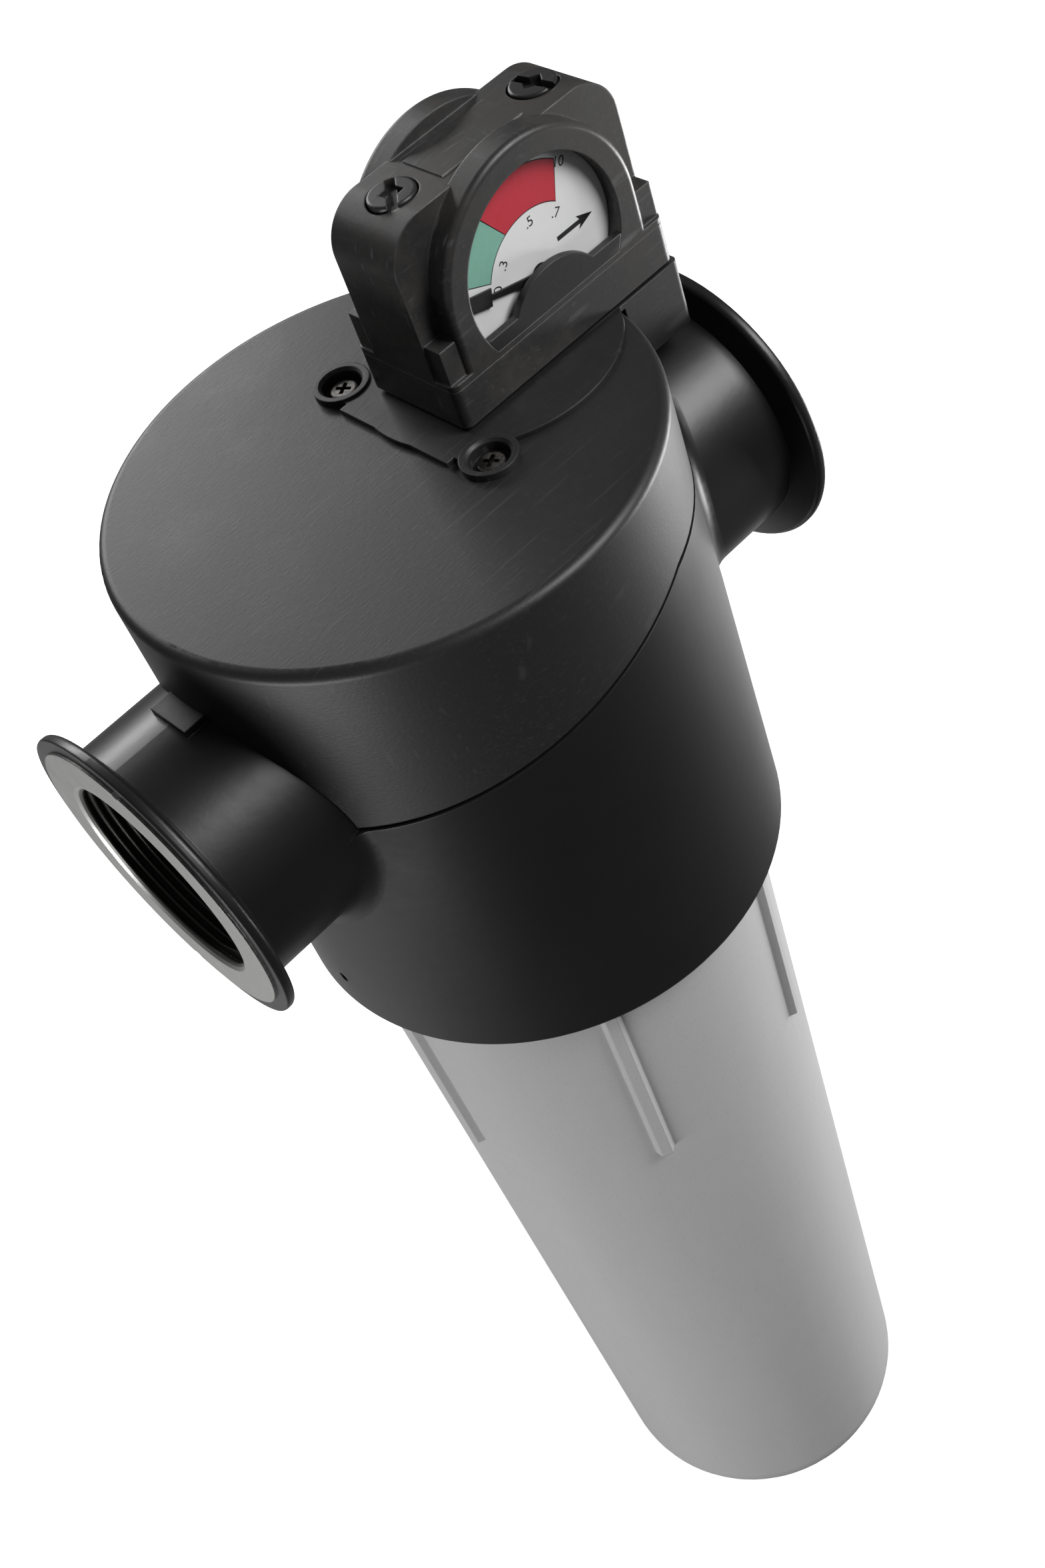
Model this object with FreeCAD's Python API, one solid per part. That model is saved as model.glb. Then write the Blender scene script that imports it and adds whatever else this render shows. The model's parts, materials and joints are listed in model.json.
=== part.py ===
import FreeCAD, Part
import math
import os

# Compressed air filter: ported head, nylon cap, differential pressure gauge, bowl, element and float drain.
# Millimetres. +Z is up and the air flows along +X. The origin is on the port axis, at the inlet's first crest.
# The pieces are drawn about the bowl's axis with z = 0 on the port axis, and moved to that origin when saved.

Vec = FreeCAD.Vector
X_AXIS = Vec(1, 0, 0)
Y_AXIS = Vec(0, 1, 0)
Z_AXIS = Vec(0, 0, 1)

# Clearances and other small fits
SEAT_GAP = 0.05
GROOVE_GAP = 0.02
LOOSE_GAP = 0.3
RUN_GAP = 0.06
SCREW_GAP = 0.25

# Head
HEAD_R = 71.0
HEAD_FOOT_R = 72.0
HEAD_FOOT_Z = -89.0
HEAD_FOOT_ROUND = 1.6
CORE_TOP_Z = 54.0
CAVITY_R = 58.0
CAVITY_TOP_Z = 43.0
SHOULDER_ROUND = 3.0
CORE_UNDER_EDGE = 40.0

# Ports
PORT_REACH = 99.5
TUBE_R = 36.0
TUBE_BLEND = 7.0
FLANGE_R = 44.0
FLANGE_RIM = 3.4
FLANGE_ROOT = 5.6
RIM_ROUND = 1.5
FACE_INNER_LIP = 0.7
FACE_R = 40.2
FACE_NOTCH_R = 1.6
FACE_NOTCH_ANGLE = -14.0
PAD_LENGTH = 6.0
PAD_HALF_WIDTH = 7.0
PAD_RISE = 1.5

# Pipe thread G 2 in the ports
THREAD_MINOR_R = 28.328
THREAD_MAJOR_R = 29.807
THREAD_PITCH = 2.309
THREAD_TURNS = 11
THREAD_CREST = 0.5
THREAD_LAND = 0.8
GROOVE_REACH = 0.1
SEAM_ANGLE = 180.0
MOUTH_CHAMFER = 1.2
PASSAGE_R = 25.0

# Downcomer inside the head
ELBOW_WALL = 4.5
SPIGOT_BORE_R = 21.0
SPIGOT_R = 26.0
SPIGOT_END_Z = -74.0
SPIGOT_GROOVE_Z = -67.0
SPIGOT_SQUEEZE = 0.5
BRIDGE_WEB_Z = -52.0
BRIDGE_WEB_HEIGHT = 10.0
BRIDGE_WEB_WIDTH = 12.0

# Bayonet between head and bowl
LUG_COUNT = 4
LUG_ANGLE = 34.0
SLOT_ANGLE = 40.0
LUG_R = 66.3
NECK_R = 59.7
NECK_BORE_R = 55.0
COLLAR_R = 62.9
NECK_RING_Z = -68.0
LUG_LOW_Z = -83.6
LUG_HIGH_Z = -76.4
LEDGE_TOP_Z = -84.0
CHAMBER_R = 66.8
CHAMBER_TOP_Z = -73.0
LEDGE_R = 63.4
SEAL_BORE_R = 60.0
SEAL_BORE_TOP_Z = -54.0
VENT_R = 1.6
VENT_Z = -74.8

# Cap
CAP_TOP_Z = 58.0
CAP_WALL = 3.2
CAP_ROUND = 2.7
CAP_SLOPE = 0.27
CAP_EDGE_Z = 21.8
CAP_FLAT_EDGE_Z = 29.6
CAP_SEAM = 0.9

# Bowl
BOWL_R = 62.4
BOWL_TAPER = 0.0172
BOWL_WALL = 4.2
BOWL_STRAIGHT_END_Z = -438.0
BOWL_CORNER = 20.0
BOWL_FLOOR_WALL = 6.0
NECK_TOP_Z = -60.0
RIB_COUNT = 6
RIB_FIRST_ANGLE = 2.0
RIB_END_Z = -174.5
RIB_TOP_GAP = 1.0
RIB_HEIGHT = 2.2
RIB_BASE = 7.0
RIB_CREST = 3.4
O_RING_R = 1.75

# Filter element
ELEMENT_END_Z = -370.0
ELEMENT_CAP_R = 50.7
ELEMENT_CAP_WALL = 2.5
COLLAR_HEIGHT = 12.0
COLLAR_WALL = 4.0
END_CAP_DEPTH = 12.0
INNER_CORE_R = 30.0
OUTER_CORE_R = 44.0
CORE_WALL = 1.0
PLEAT_COUNT = 36
PLEAT_SHEET = 2.0
PLEAT_GAP = 0.5
FOAM_WALL = 4.0
ROD_R = 4.0
NUT_FLAT_R = 6.5
NUT_HEIGHT = 8.0
WASHER_R = 12.0
WASHER_HEIGHT = 2.0

# Float drain
DRAIN_HOLE_R = 10.5
DRAIN_BASE_R = 21.0
DRAIN_BASE_HEIGHT = 6.0
DRAIN_STEM_END_Z = -476.0
DRAIN_DUCT_R = 3.0
DRAIN_SEAL_R = 1.5
DRAIN_SEAL_LAND = 1.5
KNOB_RING_R = 1.2
CAGE_R = 24.0
CAGE_WALL = 1.8
CAGE_TOP_Z = -399.0
CAGE_WINDOW_COUNT = 6
CAGE_WINDOW_WIDTH = 9.0
CAGE_WINDOW_HEIGHT = 12.0
FLOAT_R = 19.5
FLOAT_HEIGHT = 26.0
FLOAT_ROUND = 2.0
FLOAT_STEM_R = 2.2
FLOAT_STEM_OVER = 2.0
SEAT_R = 6.0
SEAT_HEIGHT = 4.0
TIP_HEIGHT = 2.4
DRAIN_NUT_R = 15.5
DRAIN_NUT_HEIGHT = 7.0
KNOB_R = 14.0
KNOB_HEIGHT = 14.0
KNOB_ROUND = 1.0
KNOB_FLUTES = 18
KNOB_FLUTE_R = 1.1
BARB_R = 5.2
BARB_LENGTH = 12.0
BARB_RINGS = 3
BARB_STEM_R = 4.16
BARB_TIP_R = 3.9

# Gauge base plate and bridge
PLATE_TOP_Z = 59.4
PLATE_CENTRE_X = 39.0
PLATE_R = 33.7
PLATE_LEFT_X = 6.0
PLATE_CORNER_HALF = 20.0
PLATE_SCREW_X = 13.0
PLATE_SCREW_Y = 27.5
EAR_R = 7.4
EAR_NECK = 2.4
EAR_BOSS_RISE = 0.5
COUNTERBORE_R = 5.2
PLATE_CUP_WALL = 1.2
PLATE_CUP_FLOOR = 2.2
BRIDGE_END_X = 88.6
BRIDGE_FOOT_Z = 41.0
BRIDGE_ROUND = 1.6
BRIDGE_OVERLAP = 7.1

# Plate screws
PLATE_SCREW_HEAD_R = 4.0
PLATE_SCREW_HEAD_HEIGHT = 1.7
PLATE_SCREW_ROUND = 1.02
PLATE_SCREW_R = 1.6
PLATE_SCREW_LENGTH = 9.0
CROSS_WIDTH = 1.1
CROSS_LENGTH = 4.2
CROSS_DEPTH = 1.1
CROSS_TURN = 30.0

# Gauge body
GAUGE_X = 51.6
GAUGE_HALF_LENGTH = 35.8
GAUGE_HALF_WIDTH = 17.7
GASKET_INSET = 3.0
GAUGE_FLOOR_Z = 60.6
PARTING_Z = 71.2
PARTING_LIP = 0.8
GAUGE_TOP_Z = 111.6
GAUGE_SHOULDER = 11.5
CORE_HALF_WIDTH = 11.2
CORNER_ROUND = 2.2
DIAL_Z = 85.0
BEZEL_R = 30.2
BEZEL_ROUND = 1.6
WINDOW_R = 23.9
WINDOW_DEPTH = 4.2
WINDOW_THICK = 1.0
DIAL_THICK = 0.6
FOOT_BLOCK_LENGTH = 5.0
FOOT_BLOCK_HEIGHT = 11.0
FOOT_BLOCK_INSET = 0.6
FOOT_BLOCK_SET_BACK = 1.2
PANEL_HALF_LENGTH = 13.0
PANEL_HALF_WIDTH = 6.8
PANEL_RISE = 0.35

# Hub covers
PIVOT_Z = 79.0
COVER_TOP_Z = 76.6
HUMP_R = 16.1
HUMP_Z = 66.8
COVER_THICK = 2.0

# Needles
NEEDLE_LENGTH = 24.0
NEEDLE_TAIL = 5.0
NEEDLE_WIDTH = 1.3
NEEDLE_THICK = 0.5
NEEDLE_HUB_R = 2.4
NEEDLE_REST_ANGLE = 164.5
PIVOT_R = 0.8
PIVOT_FIT = 0.005
PIVOT_BITE = 1.2
HUB_GAP = 0.2
FOLLOWER_R = 3.2
FOLLOWER_THICK = 2.4
FOLLOWER_POCKET_R = 3.9
PADDLE_START = 16.0
PADDLE_WIDTH = 4.4
PADDLE_TIP_WIDTH = 3.96

# Piston chamber
PISTON_BORE_R = 6.5
PISTON_FLOOR_Z = 62.8
PISTON_FOOT = 2.6
PISTON_HEIGHT = 12.0
PISTON_CUP_R = 4.9
PISTON_CUP_DEPTH = 5.0
CHAMBER_TOP = 92.0
CHAMBER_SEAL_R = 0.9
CHAMBER_SEAL_LAND = 0.6
SPRING_WIRE_R = 0.4
SPRING_COIL_R = 4.0
SPRING_GAP = 0.3
BAR_MAGNET_R = 2.0
BAR_MAGNET_LENGTH = 8.0
SENSE_DUCT_R = 0.9

# Gauge screws
GAUGE_SCREW_SPAN = 45.2
GAUGE_SCREW_HEAD_R = 5.9
GAUGE_SCREW_HEAD_HEIGHT = 4.2
GAUGE_SCREW_ROUND = 0.6
GAUGE_SCREW_RECESS_R = 6.4
GAUGE_SCREW_RECESS = 3.6
GAUGE_SCREW_R = 2.0
GAUGE_SCREW_BITE = 8.0
SLOT_WIDTH = 2.4
SLOT_DEPTH = 2.0
DIAMOND_HALF = 2.2
SLOT_TURNS = [-38.0, 8.0]

# Sensing tubes
SENSE_BORE_R = 0.9
SENSE_R = 2.5
SENSE_RING_R = 0.6
SENSE_SOCKET = 4.0
SENSE_Y = 6.0
SENSE_BOSS_X = -45.0
SENSE_BOSS_R = 5.0
INLET_SENSE_X = 24.0
OUTLET_SENSE_X = 80.5


def at(x, y, z):
    return Vec(x, y, z)


def cyl(radius, low_z, high_z, x=0.0, y=0.0):
    return Part.makeCylinder(radius, high_z - low_z, at(x, y, low_z), Z_AXIS)


def bar_x(radius, from_x, to_x, y=0.0, z=0.0):
    return Part.makeCylinder(radius, to_x - from_x, at(from_x, y, z), X_AXIS)


def bar_y(radius, from_y, to_y, x=0.0, z=0.0):
    return Part.makeCylinder(radius, to_y - from_y, at(x, from_y, z), Y_AXIS)


def ring(outer, inner, low_z, high_z, x=0.0, y=0.0):
    return cyl(outer, low_z, high_z, x, y).cut(cyl(inner, low_z - 1, high_z + 1, x, y))


def block(x0, x1, y0, y1, z0, z1):
    return Part.makeBox(x1 - x0, y1 - y0, z1 - z0, at(x0, y0, z0))


def torus_z(ring_r, wire_r, z, x=0.0, y=0.0):
    return Part.makeTorus(ring_r, wire_r, at(x, y, z), Z_AXIS)


def fuse_all(shapes):
    first = shapes[0]
    if len(shapes) == 1:
        return first
    return first.multiFuse(shapes[1:]).removeSplitter()


def cut_all(shape, tools):
    return shape.cut(Part.makeCompound(tools)) if tools else shape


def spin_profile(points, axis_point=Vec(0, 0, 0), axis=Z_AXIS):
    """Turns a closed outline about an axis."""
    wire = Part.makePolygon(points + [points[0]])
    return Part.Face(wire).revolve(axis_point, axis, 360)


def prism_y(outline, from_y, to_y):
    """Pushes a closed outline of (x, z) pairs along Y."""
    points = [at(x, from_y, z) for x, z in outline]
    wire = Part.makePolygon(points + [points[0]])
    return Part.Face(wire).extrude(Vec(0, to_y - from_y, 0))


def prism_z(outline, low_z, high_z):
    """Pushes a closed outline of (x, y) pairs along Z."""
    points = [at(x, y, low_z) for x, y in outline]
    wire = Part.makePolygon(points + [points[0]])
    return Part.Face(wire).extrude(Vec(0, 0, high_z - low_z))


def turned(shape, angle, x=0.0, y=0.0):
    """A copy turned about the upright line through x, y."""
    copy = shape.copy()
    copy.rotate(at(x, y, 0), Z_AXIS, angle)
    return copy


def around(shape, count, first=0.0):
    return [turned(shape, first + 360.0 * i / count) for i in range(count)]


def on_rear(shape):
    """A copy for the rear of the gauge, turned half round about the gauge's upright line."""
    return turned(shape, 180, GAUGE_X)


def edges_where(shape, test):
    return [edge for edge in shape.Edges if test(edge)]


def rounded(shape, radius, test):
    """Rounds the edges that pass the test."""
    chosen = edges_where(shape, test)
    return shape.makeFillet(radius, chosen) if chosen else shape


def flat_circle_at(z, radius):
    """Picks full circles about the bowl's axis at one height."""
    def test(edge):
        box = edge.BoundBox
        same_height = abs(box.ZMin - z) < 0.01 and abs(box.ZMax - z) < 0.01
        return same_height and abs(box.XMax - radius) < 0.05
    return test


def full_circle_above(z):
    """Picks full circles that lie higher than z."""
    def test(edge):
        return edge.BoundBox.ZMin > z and len(edge.Vertexes) == 1
    return test


def level_circle(edge):
    return len(edge.Vertexes) == 1 and edge.BoundBox.ZLength < 0.1


def sector(inner, outer, low_z, high_z, angle, middle):
    """A slice of a ring, angle wide, about the direction middle."""
    slice_face = Part.makeCylinder(outer, high_z - low_z, at(0, 0, low_z), Z_AXIS, angle)
    slice_face.rotate(Vec(0, 0, 0), Z_AXIS, middle - angle / 2)
    return slice_face.cut(cyl(inner, low_z - 1, high_z + 1))


def bowl_radius(z):
    return BOWL_R - BOWL_TAPER * (HEAD_FOOT_Z - z)


def cap_edge_points(drop=0.0):
    """The slanted lower edge of the cap, seen from the front, as (x, z) pairs."""
    far = 2 * HEAD_R
    level_x = (CAP_FLAT_EDGE_Z - CAP_EDGE_Z) / CAP_SLOPE
    low = CAP_EDGE_Z - CAP_SLOPE * far - drop
    level = CAP_FLAT_EDGE_Z - drop
    return [(-far, low), (level_x, level), (far, level)]


def above_cap_edge(drop=0.0):
    points = cap_edge_points(drop)
    far = 2 * HEAD_R
    outline = points + [(far, far), (-far, far)]
    return prism_y(outline, -far, far)


# Head

def first_crest_x():
    return PORT_REACH - MOUTH_CHAMFER


def tapped_length():
    """All turns and the plain end of the tapping drill, one pitch long."""
    return (THREAD_TURNS + 1) * THREAD_PITCH + THREAD_CREST


def tapping_bore():
    """The plain bore at the thread's crests, with its mouth chamfer and the cone of the drill.

    The line where its round faces close is turned away from the thread's land.
    """
    end_x = first_crest_x() - tapped_length()
    rows = [at(PORT_REACH + 1, 0, 0), at(PORT_REACH + 1, 0, THREAD_MAJOR_R + 1)]
    rows.append(at(PORT_REACH, 0, THREAD_MAJOR_R))
    rows.append(at(first_crest_x(), 0, THREAD_MINOR_R))
    rows.append(at(end_x, 0, THREAD_MINOR_R))
    cone_end_x = end_x - (THREAD_MINOR_R - PASSAGE_R)
    rows.append(at(cone_end_x, 0, PASSAGE_R))
    rows.append(at(cone_end_x, 0, 0))
    bore = spin_profile(rows, Vec(0, 0, 0), X_AXIS)
    bore.rotate(Vec(0, 0, 0), X_AXIS, SEAM_ANGLE)
    return bore


def thread_grooves():
    """Ring grooves of the thread's pitch and depth, stopped at one thin land on the bore's crown."""
    flank = (THREAD_PITCH - THREAD_CREST) / 2
    depth = THREAD_MAJOR_R - THREAD_MINOR_R
    reach = 1 + GROOVE_REACH / depth
    land = block(0, PORT_REACH, -THREAD_LAND / 2, THREAD_LAND / 2, 0, THREAD_MAJOR_R + 1)
    grooves = []
    for turn in range(THREAD_TURNS):
        middle = first_crest_x() - turn * THREAD_PITCH - THREAD_CREST - flank
        rows = [at(middle - flank * reach, 0, THREAD_MINOR_R - GROOVE_REACH), at(middle, 0, THREAD_MAJOR_R)]
        rows.append(at(middle + flank * reach, 0, THREAD_MINOR_R - GROOVE_REACH))
        grooves.append(spin_profile(rows, Vec(0, 0, 0), X_AXIS).cut(land))
    return grooves


def port_outside():
    """The tube and the dished flange of a port along +X."""
    face = PORT_REACH
    back = face - FLANGE_ROOT
    rim_back = face - FLANGE_RIM
    outline = [at(0, 0, 0), at(0, 0, TUBE_R), at(back, 0, TUBE_R)]
    outline += [at(rim_back, 0, FLANGE_R), at(face, 0, FLANGE_R), at(face, 0, 0)]
    body = spin_profile(outline, Vec(0, 0, 0), X_AXIS)

    def rim(edge):
        box = edge.BoundBox
        return abs(box.ZMax - FLANGE_R) < 0.01 and box.XMax - box.XMin < 0.01
    return rounded(body, RIM_ROUND, rim)


def face_step():
    """The rim of a port's face stands a little behind the machined ring: a shallow cut along the rim."""
    face = PORT_REACH
    step = bar_x(FLANGE_R + 1, face - FACE_INNER_LIP, face + 1)
    return step.cut(bar_x(FACE_R, face - 2, face + 2))


def face_notches():
    """Two small opposite notches in the edge of the machined ring."""
    tools = []
    for side in (0, 180):
        notch = bar_x(FACE_NOTCH_R, PORT_REACH - FACE_INNER_LIP, PORT_REACH + 1, z=FACE_R + FACE_NOTCH_R / 2)
        notch.rotate(Vec(0, 0, 0), X_AXIS, FACE_NOTCH_ANGLE + side)
        tools.append(notch)
    return tools


def locating_pad():
    """A small flat pad on the crown of a port tube beside the cap."""
    top = TUBE_R + PAD_RISE
    return block(HEAD_R - 2, HEAD_R + PAD_LENGTH, -PAD_HALF_WIDTH, PAD_HALF_WIDTH, TUBE_R - 4, top)


def blended_casting():
    """Head barrel and both port tubes with the cast radius between them."""
    profile = [at(0, 0, HEAD_FOOT_Z), at(HEAD_FOOT_R, 0, HEAD_FOOT_Z)]
    profile += [at(HEAD_R, 0, CAP_TOP_Z), at(0, 0, CAP_TOP_Z)]
    barrel = spin_profile(profile)
    tube_end = PORT_REACH - FLANGE_ROOT - SHOULDER_ROUND
    joined = barrel.fuse(bar_x(TUBE_R, -tube_end, tube_end))

    def tube_meets_barrel(edge):
        box = edge.BoundBox
        on_tube = all(abs(math.hypot(v.Y, v.Z) - TUBE_R) < 0.5 for v in edge.Vertexes)
        return on_tube and box.ZLength > TUBE_BLEND and box.XLength > 1
    return joined.makeFillet(TUBE_BLEND, edges_where(joined, tube_meets_barrel))


def head_outside():
    upper_r = HEAD_R - CAP_WALL - LOOSE_GAP
    upper = cyl(upper_r, CAP_FLAT_EDGE_Z - CORE_UNDER_EDGE, CORE_TOP_Z)
    upper = rounded(upper, SHOULDER_ROUND, flat_circle_at(CORE_TOP_Z, upper_r))
    lower = rounded(blended_casting(), HEAD_FOOT_ROUND, flat_circle_at(HEAD_FOOT_Z, HEAD_FOOT_R))
    lower = lower.cut(above_cap_edge(CAP_SEAM))
    port = port_outside().fuse(locating_pad())
    return lower.multiFuse([upper, port, turned(port, 180)])


def elbow_outside():
    shell = PASSAGE_R + ELBOW_WALL
    run = bar_x(shell, -CAVITY_R - 2, 0)
    ball = Part.makeSphere(shell, Vec(0, 0, 0))
    drop = cyl(SPIGOT_R, SPIGOT_END_Z, 0)
    sense_boss = cyl(SENSE_BOSS_R, PASSAGE_R, CAVITY_TOP_Z + 1, SENSE_BOSS_X, SENSE_Y)
    return fuse_all([run, ball, drop, sense_boss])


def elbow_inside():
    run = bar_x(PASSAGE_R, -PORT_REACH, 0)
    ball = Part.makeSphere(PASSAGE_R, Vec(0, 0, 0))
    drop = cyl(SPIGOT_BORE_R, SPIGOT_END_Z - 1, 0)
    web = block(-SPIGOT_R, SPIGOT_R, -BRIDGE_WEB_WIDTH / 2, BRIDGE_WEB_WIDTH / 2,
                BRIDGE_WEB_Z, BRIDGE_WEB_Z + BRIDGE_WEB_HEIGHT)
    return fuse_all([run, ball, drop.cut(web)])


def lug_slots():
    step = 360.0 / LUG_COUNT
    return [sector(LEDGE_R - 1, CHAMBER_R, HEAD_FOOT_Z - 1, LEDGE_TOP_Z + 1, SLOT_ANGLE, step * (i + 0.5))
            for i in range(LUG_COUNT)]


def gauge_screw_places():
    half = GAUGE_SCREW_SPAN / 2
    return [(GAUGE_X - half, 0.0), (GAUGE_X + half, 0.0)]


def plate_cup_floor_z():
    return CORE_TOP_Z + PLATE_CUP_FLOOR


def plate_screw_places():
    return [(PLATE_SCREW_X, -PLATE_SCREW_Y), (PLATE_SCREW_X, PLATE_SCREW_Y)]


def sense_gallery():
    """The drilled way from the inlet bore up through the head's roof to the gauge."""
    gallery_z = CAVITY_TOP_Z + (CORE_TOP_Z - SENSE_SOCKET - CAVITY_TOP_Z) / 2
    down = cyl(SENSE_BORE_R, PASSAGE_R - 4, gallery_z, SENSE_BOSS_X, SENSE_Y)
    along = bar_x(SENSE_BORE_R, SENSE_BOSS_X, INLET_SENSE_X, SENSE_Y, gallery_z)
    up = cyl(SENSE_BORE_R, gallery_z, CORE_TOP_Z, INLET_SENSE_X, SENSE_Y)
    socket = cyl(SENSE_R + SEAT_GAP, CORE_TOP_Z - SENSE_SOCKET, CORE_TOP_Z + 1, INLET_SENSE_X, SENSE_Y)
    return [down, along, up, socket]


def outlet_sense_hole():
    """The socket and drilled hole in the crown of the outlet tube."""
    socket = cyl(SENSE_R + SEAT_GAP, TUBE_R - SENSE_SOCKET, TUBE_R + 1, OUTLET_SENSE_X, SENSE_Y)
    hole = cyl(SENSE_BORE_R, PASSAGE_R - 4, TUBE_R, OUTLET_SENSE_X, SENSE_Y)
    return [socket, hole]


def head_chamber():
    """The room round the downcomer, and below it the bayonet's room with its slots."""
    tools = [cyl(CAVITY_R, HEAD_FOOT_Z - 1, CAVITY_TOP_Z)]
    tools.append(cyl(SEAL_BORE_R, HEAD_FOOT_Z - 1, SEAL_BORE_TOP_Z))
    tools.append(cyl(CHAMBER_R, LEDGE_TOP_Z, CHAMBER_TOP_Z))
    tools.append(cyl(LEDGE_R, HEAD_FOOT_Z - 1, LEDGE_TOP_Z + 1))
    return tools


def port_inside():
    """All that is cut into the port along +X."""
    tools = [bar_x(PASSAGE_R, 0, PORT_REACH), tapping_bore(), face_step()]
    return tools + face_notches() + thread_grooves()


def head_screw_holes():
    screw_end = CORE_TOP_Z - GAUGE_SCREW_BITE - LOOSE_GAP
    left_x, left_y = gauge_screw_places()[0]
    tools = [cyl(GAUGE_SCREW_R + SEAT_GAP, screw_end, CORE_TOP_Z + 1, left_x, left_y)]
    end_z = plate_cup_floor_z() - PLATE_SCREW_LENGTH - LOOSE_GAP
    for x, y in plate_screw_places():
        tools.append(cyl(PLATE_SCREW_R + SEAT_GAP, end_z, CORE_TOP_Z + 1, x, y))
    return tools


def make_head_body():
    body = head_outside()
    port = port_inside()
    tools = head_chamber() + port + [turned(tool, 180) for tool in port] + lug_slots()
    tools.append(bar_x(VENT_R, -HEAD_FOOT_R - 1, -CHAMBER_R + 1, z=VENT_Z))
    tools += head_screw_holes() + sense_gallery() + outlet_sense_hole()
    for tool in tools:
        body = body.cut(tool)
    return body.removeSplitter()


def spigot_groove(wire_r):
    """The ring round the downcomer's spigot, which stands out of it by the seal's squeeze."""
    return torus_z(SPIGOT_R - O_RING_R + SPIGOT_SQUEEZE, wire_r, SPIGOT_GROOVE_Z)


def make_flow_elbow():
    """The downcomer in the head: in from the inlet's side, down into the element."""
    room = cyl(CAVITY_R - SEAT_GAP, SPIGOT_END_Z, CAVITY_TOP_Z)
    elbow = elbow_outside().common(room)
    tools = [elbow_inside(), spigot_groove(O_RING_R + SEAT_GAP)]
    tools.append(cyl(ROD_R + SEAT_GAP, BRIDGE_WEB_Z - 1, BRIDGE_WEB_Z + BRIDGE_WEB_HEIGHT + 1))
    tools.append(sense_gallery()[0])
    for tool in tools:
        elbow = elbow.cut(tool)
    return elbow.removeSplitter()


# Cap

def make_top_cap():
    outer = cyl(HEAD_R, CAP_EDGE_Z - HEAD_R, CAP_TOP_Z)
    outer = rounded(outer, CAP_ROUND, flat_circle_at(CAP_TOP_Z, HEAD_R))
    shell = outer.cut(cyl(HEAD_R - CAP_WALL, CAP_EDGE_Z - HEAD_R - 1, CORE_TOP_Z))
    shell = shell.common(above_cap_edge())
    tools = [bar_x(TUBE_R + LOOSE_GAP, -PORT_REACH, PORT_REACH)]
    pad_top = TUBE_R + PAD_RISE + LOOSE_GAP
    pad_half = PAD_HALF_WIDTH + LOOSE_GAP
    tools.append(block(-PORT_REACH, PORT_REACH, -pad_half, pad_half, 0, pad_top))
    x, y = gauge_screw_places()[0]
    tools.append(cyl(GAUGE_SCREW_R + SCREW_GAP, CORE_TOP_Z - 1, CAP_TOP_Z + 1, x, y))
    tools.append(cyl(SENSE_R + SCREW_GAP, CORE_TOP_Z - 1, CAP_TOP_Z + 1, INLET_SENSE_X, SENSE_Y))
    cup_r = COUNTERBORE_R + PLATE_CUP_WALL + SCREW_GAP
    for x, y in plate_screw_places():
        tools.append(cyl(cup_r, CORE_TOP_Z - 1, CAP_TOP_Z + 1, x, y))
    for tool in tools:
        shell = shell.cut(tool)
    return shell


# Gauge base

def plate_neck():
    """The web that joins the screw ears to the plate."""
    neck_x = PLATE_LEFT_X + EAR_NECK
    web = block(neck_x, PLATE_CENTRE_X, -PLATE_SCREW_Y, PLATE_SCREW_Y, CAP_TOP_Z, PLATE_TOP_Z)
    neck_r = math.hypot(PLATE_CENTRE_X - neck_x, PLATE_SCREW_Y - EAR_R + EAR_NECK)
    return web.common(cyl(neck_r, CAP_TOP_Z, PLATE_TOP_Z, PLATE_CENTRE_X))


def plate_bridge():
    """The block beyond the cap's rim, which stands on the outlet tube."""
    start_x = PLATE_CENTRE_X + PLATE_R - BRIDGE_OVERLAP
    half = GAUGE_HALF_WIDTH
    bridge = block(start_x, BRIDGE_END_X, -half, half, BRIDGE_FOOT_Z, PLATE_TOP_Z)

    def end_corner(edge):
        box = edge.BoundBox
        return box.ZLength > 5 and box.XMin > BRIDGE_END_X - 0.1
    bridge = rounded(bridge, BRIDGE_ROUND, end_corner)
    return bridge.cut(cyl(HEAD_R + LOOSE_GAP, BRIDGE_FOOT_Z - 1, CAP_TOP_Z))


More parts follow.
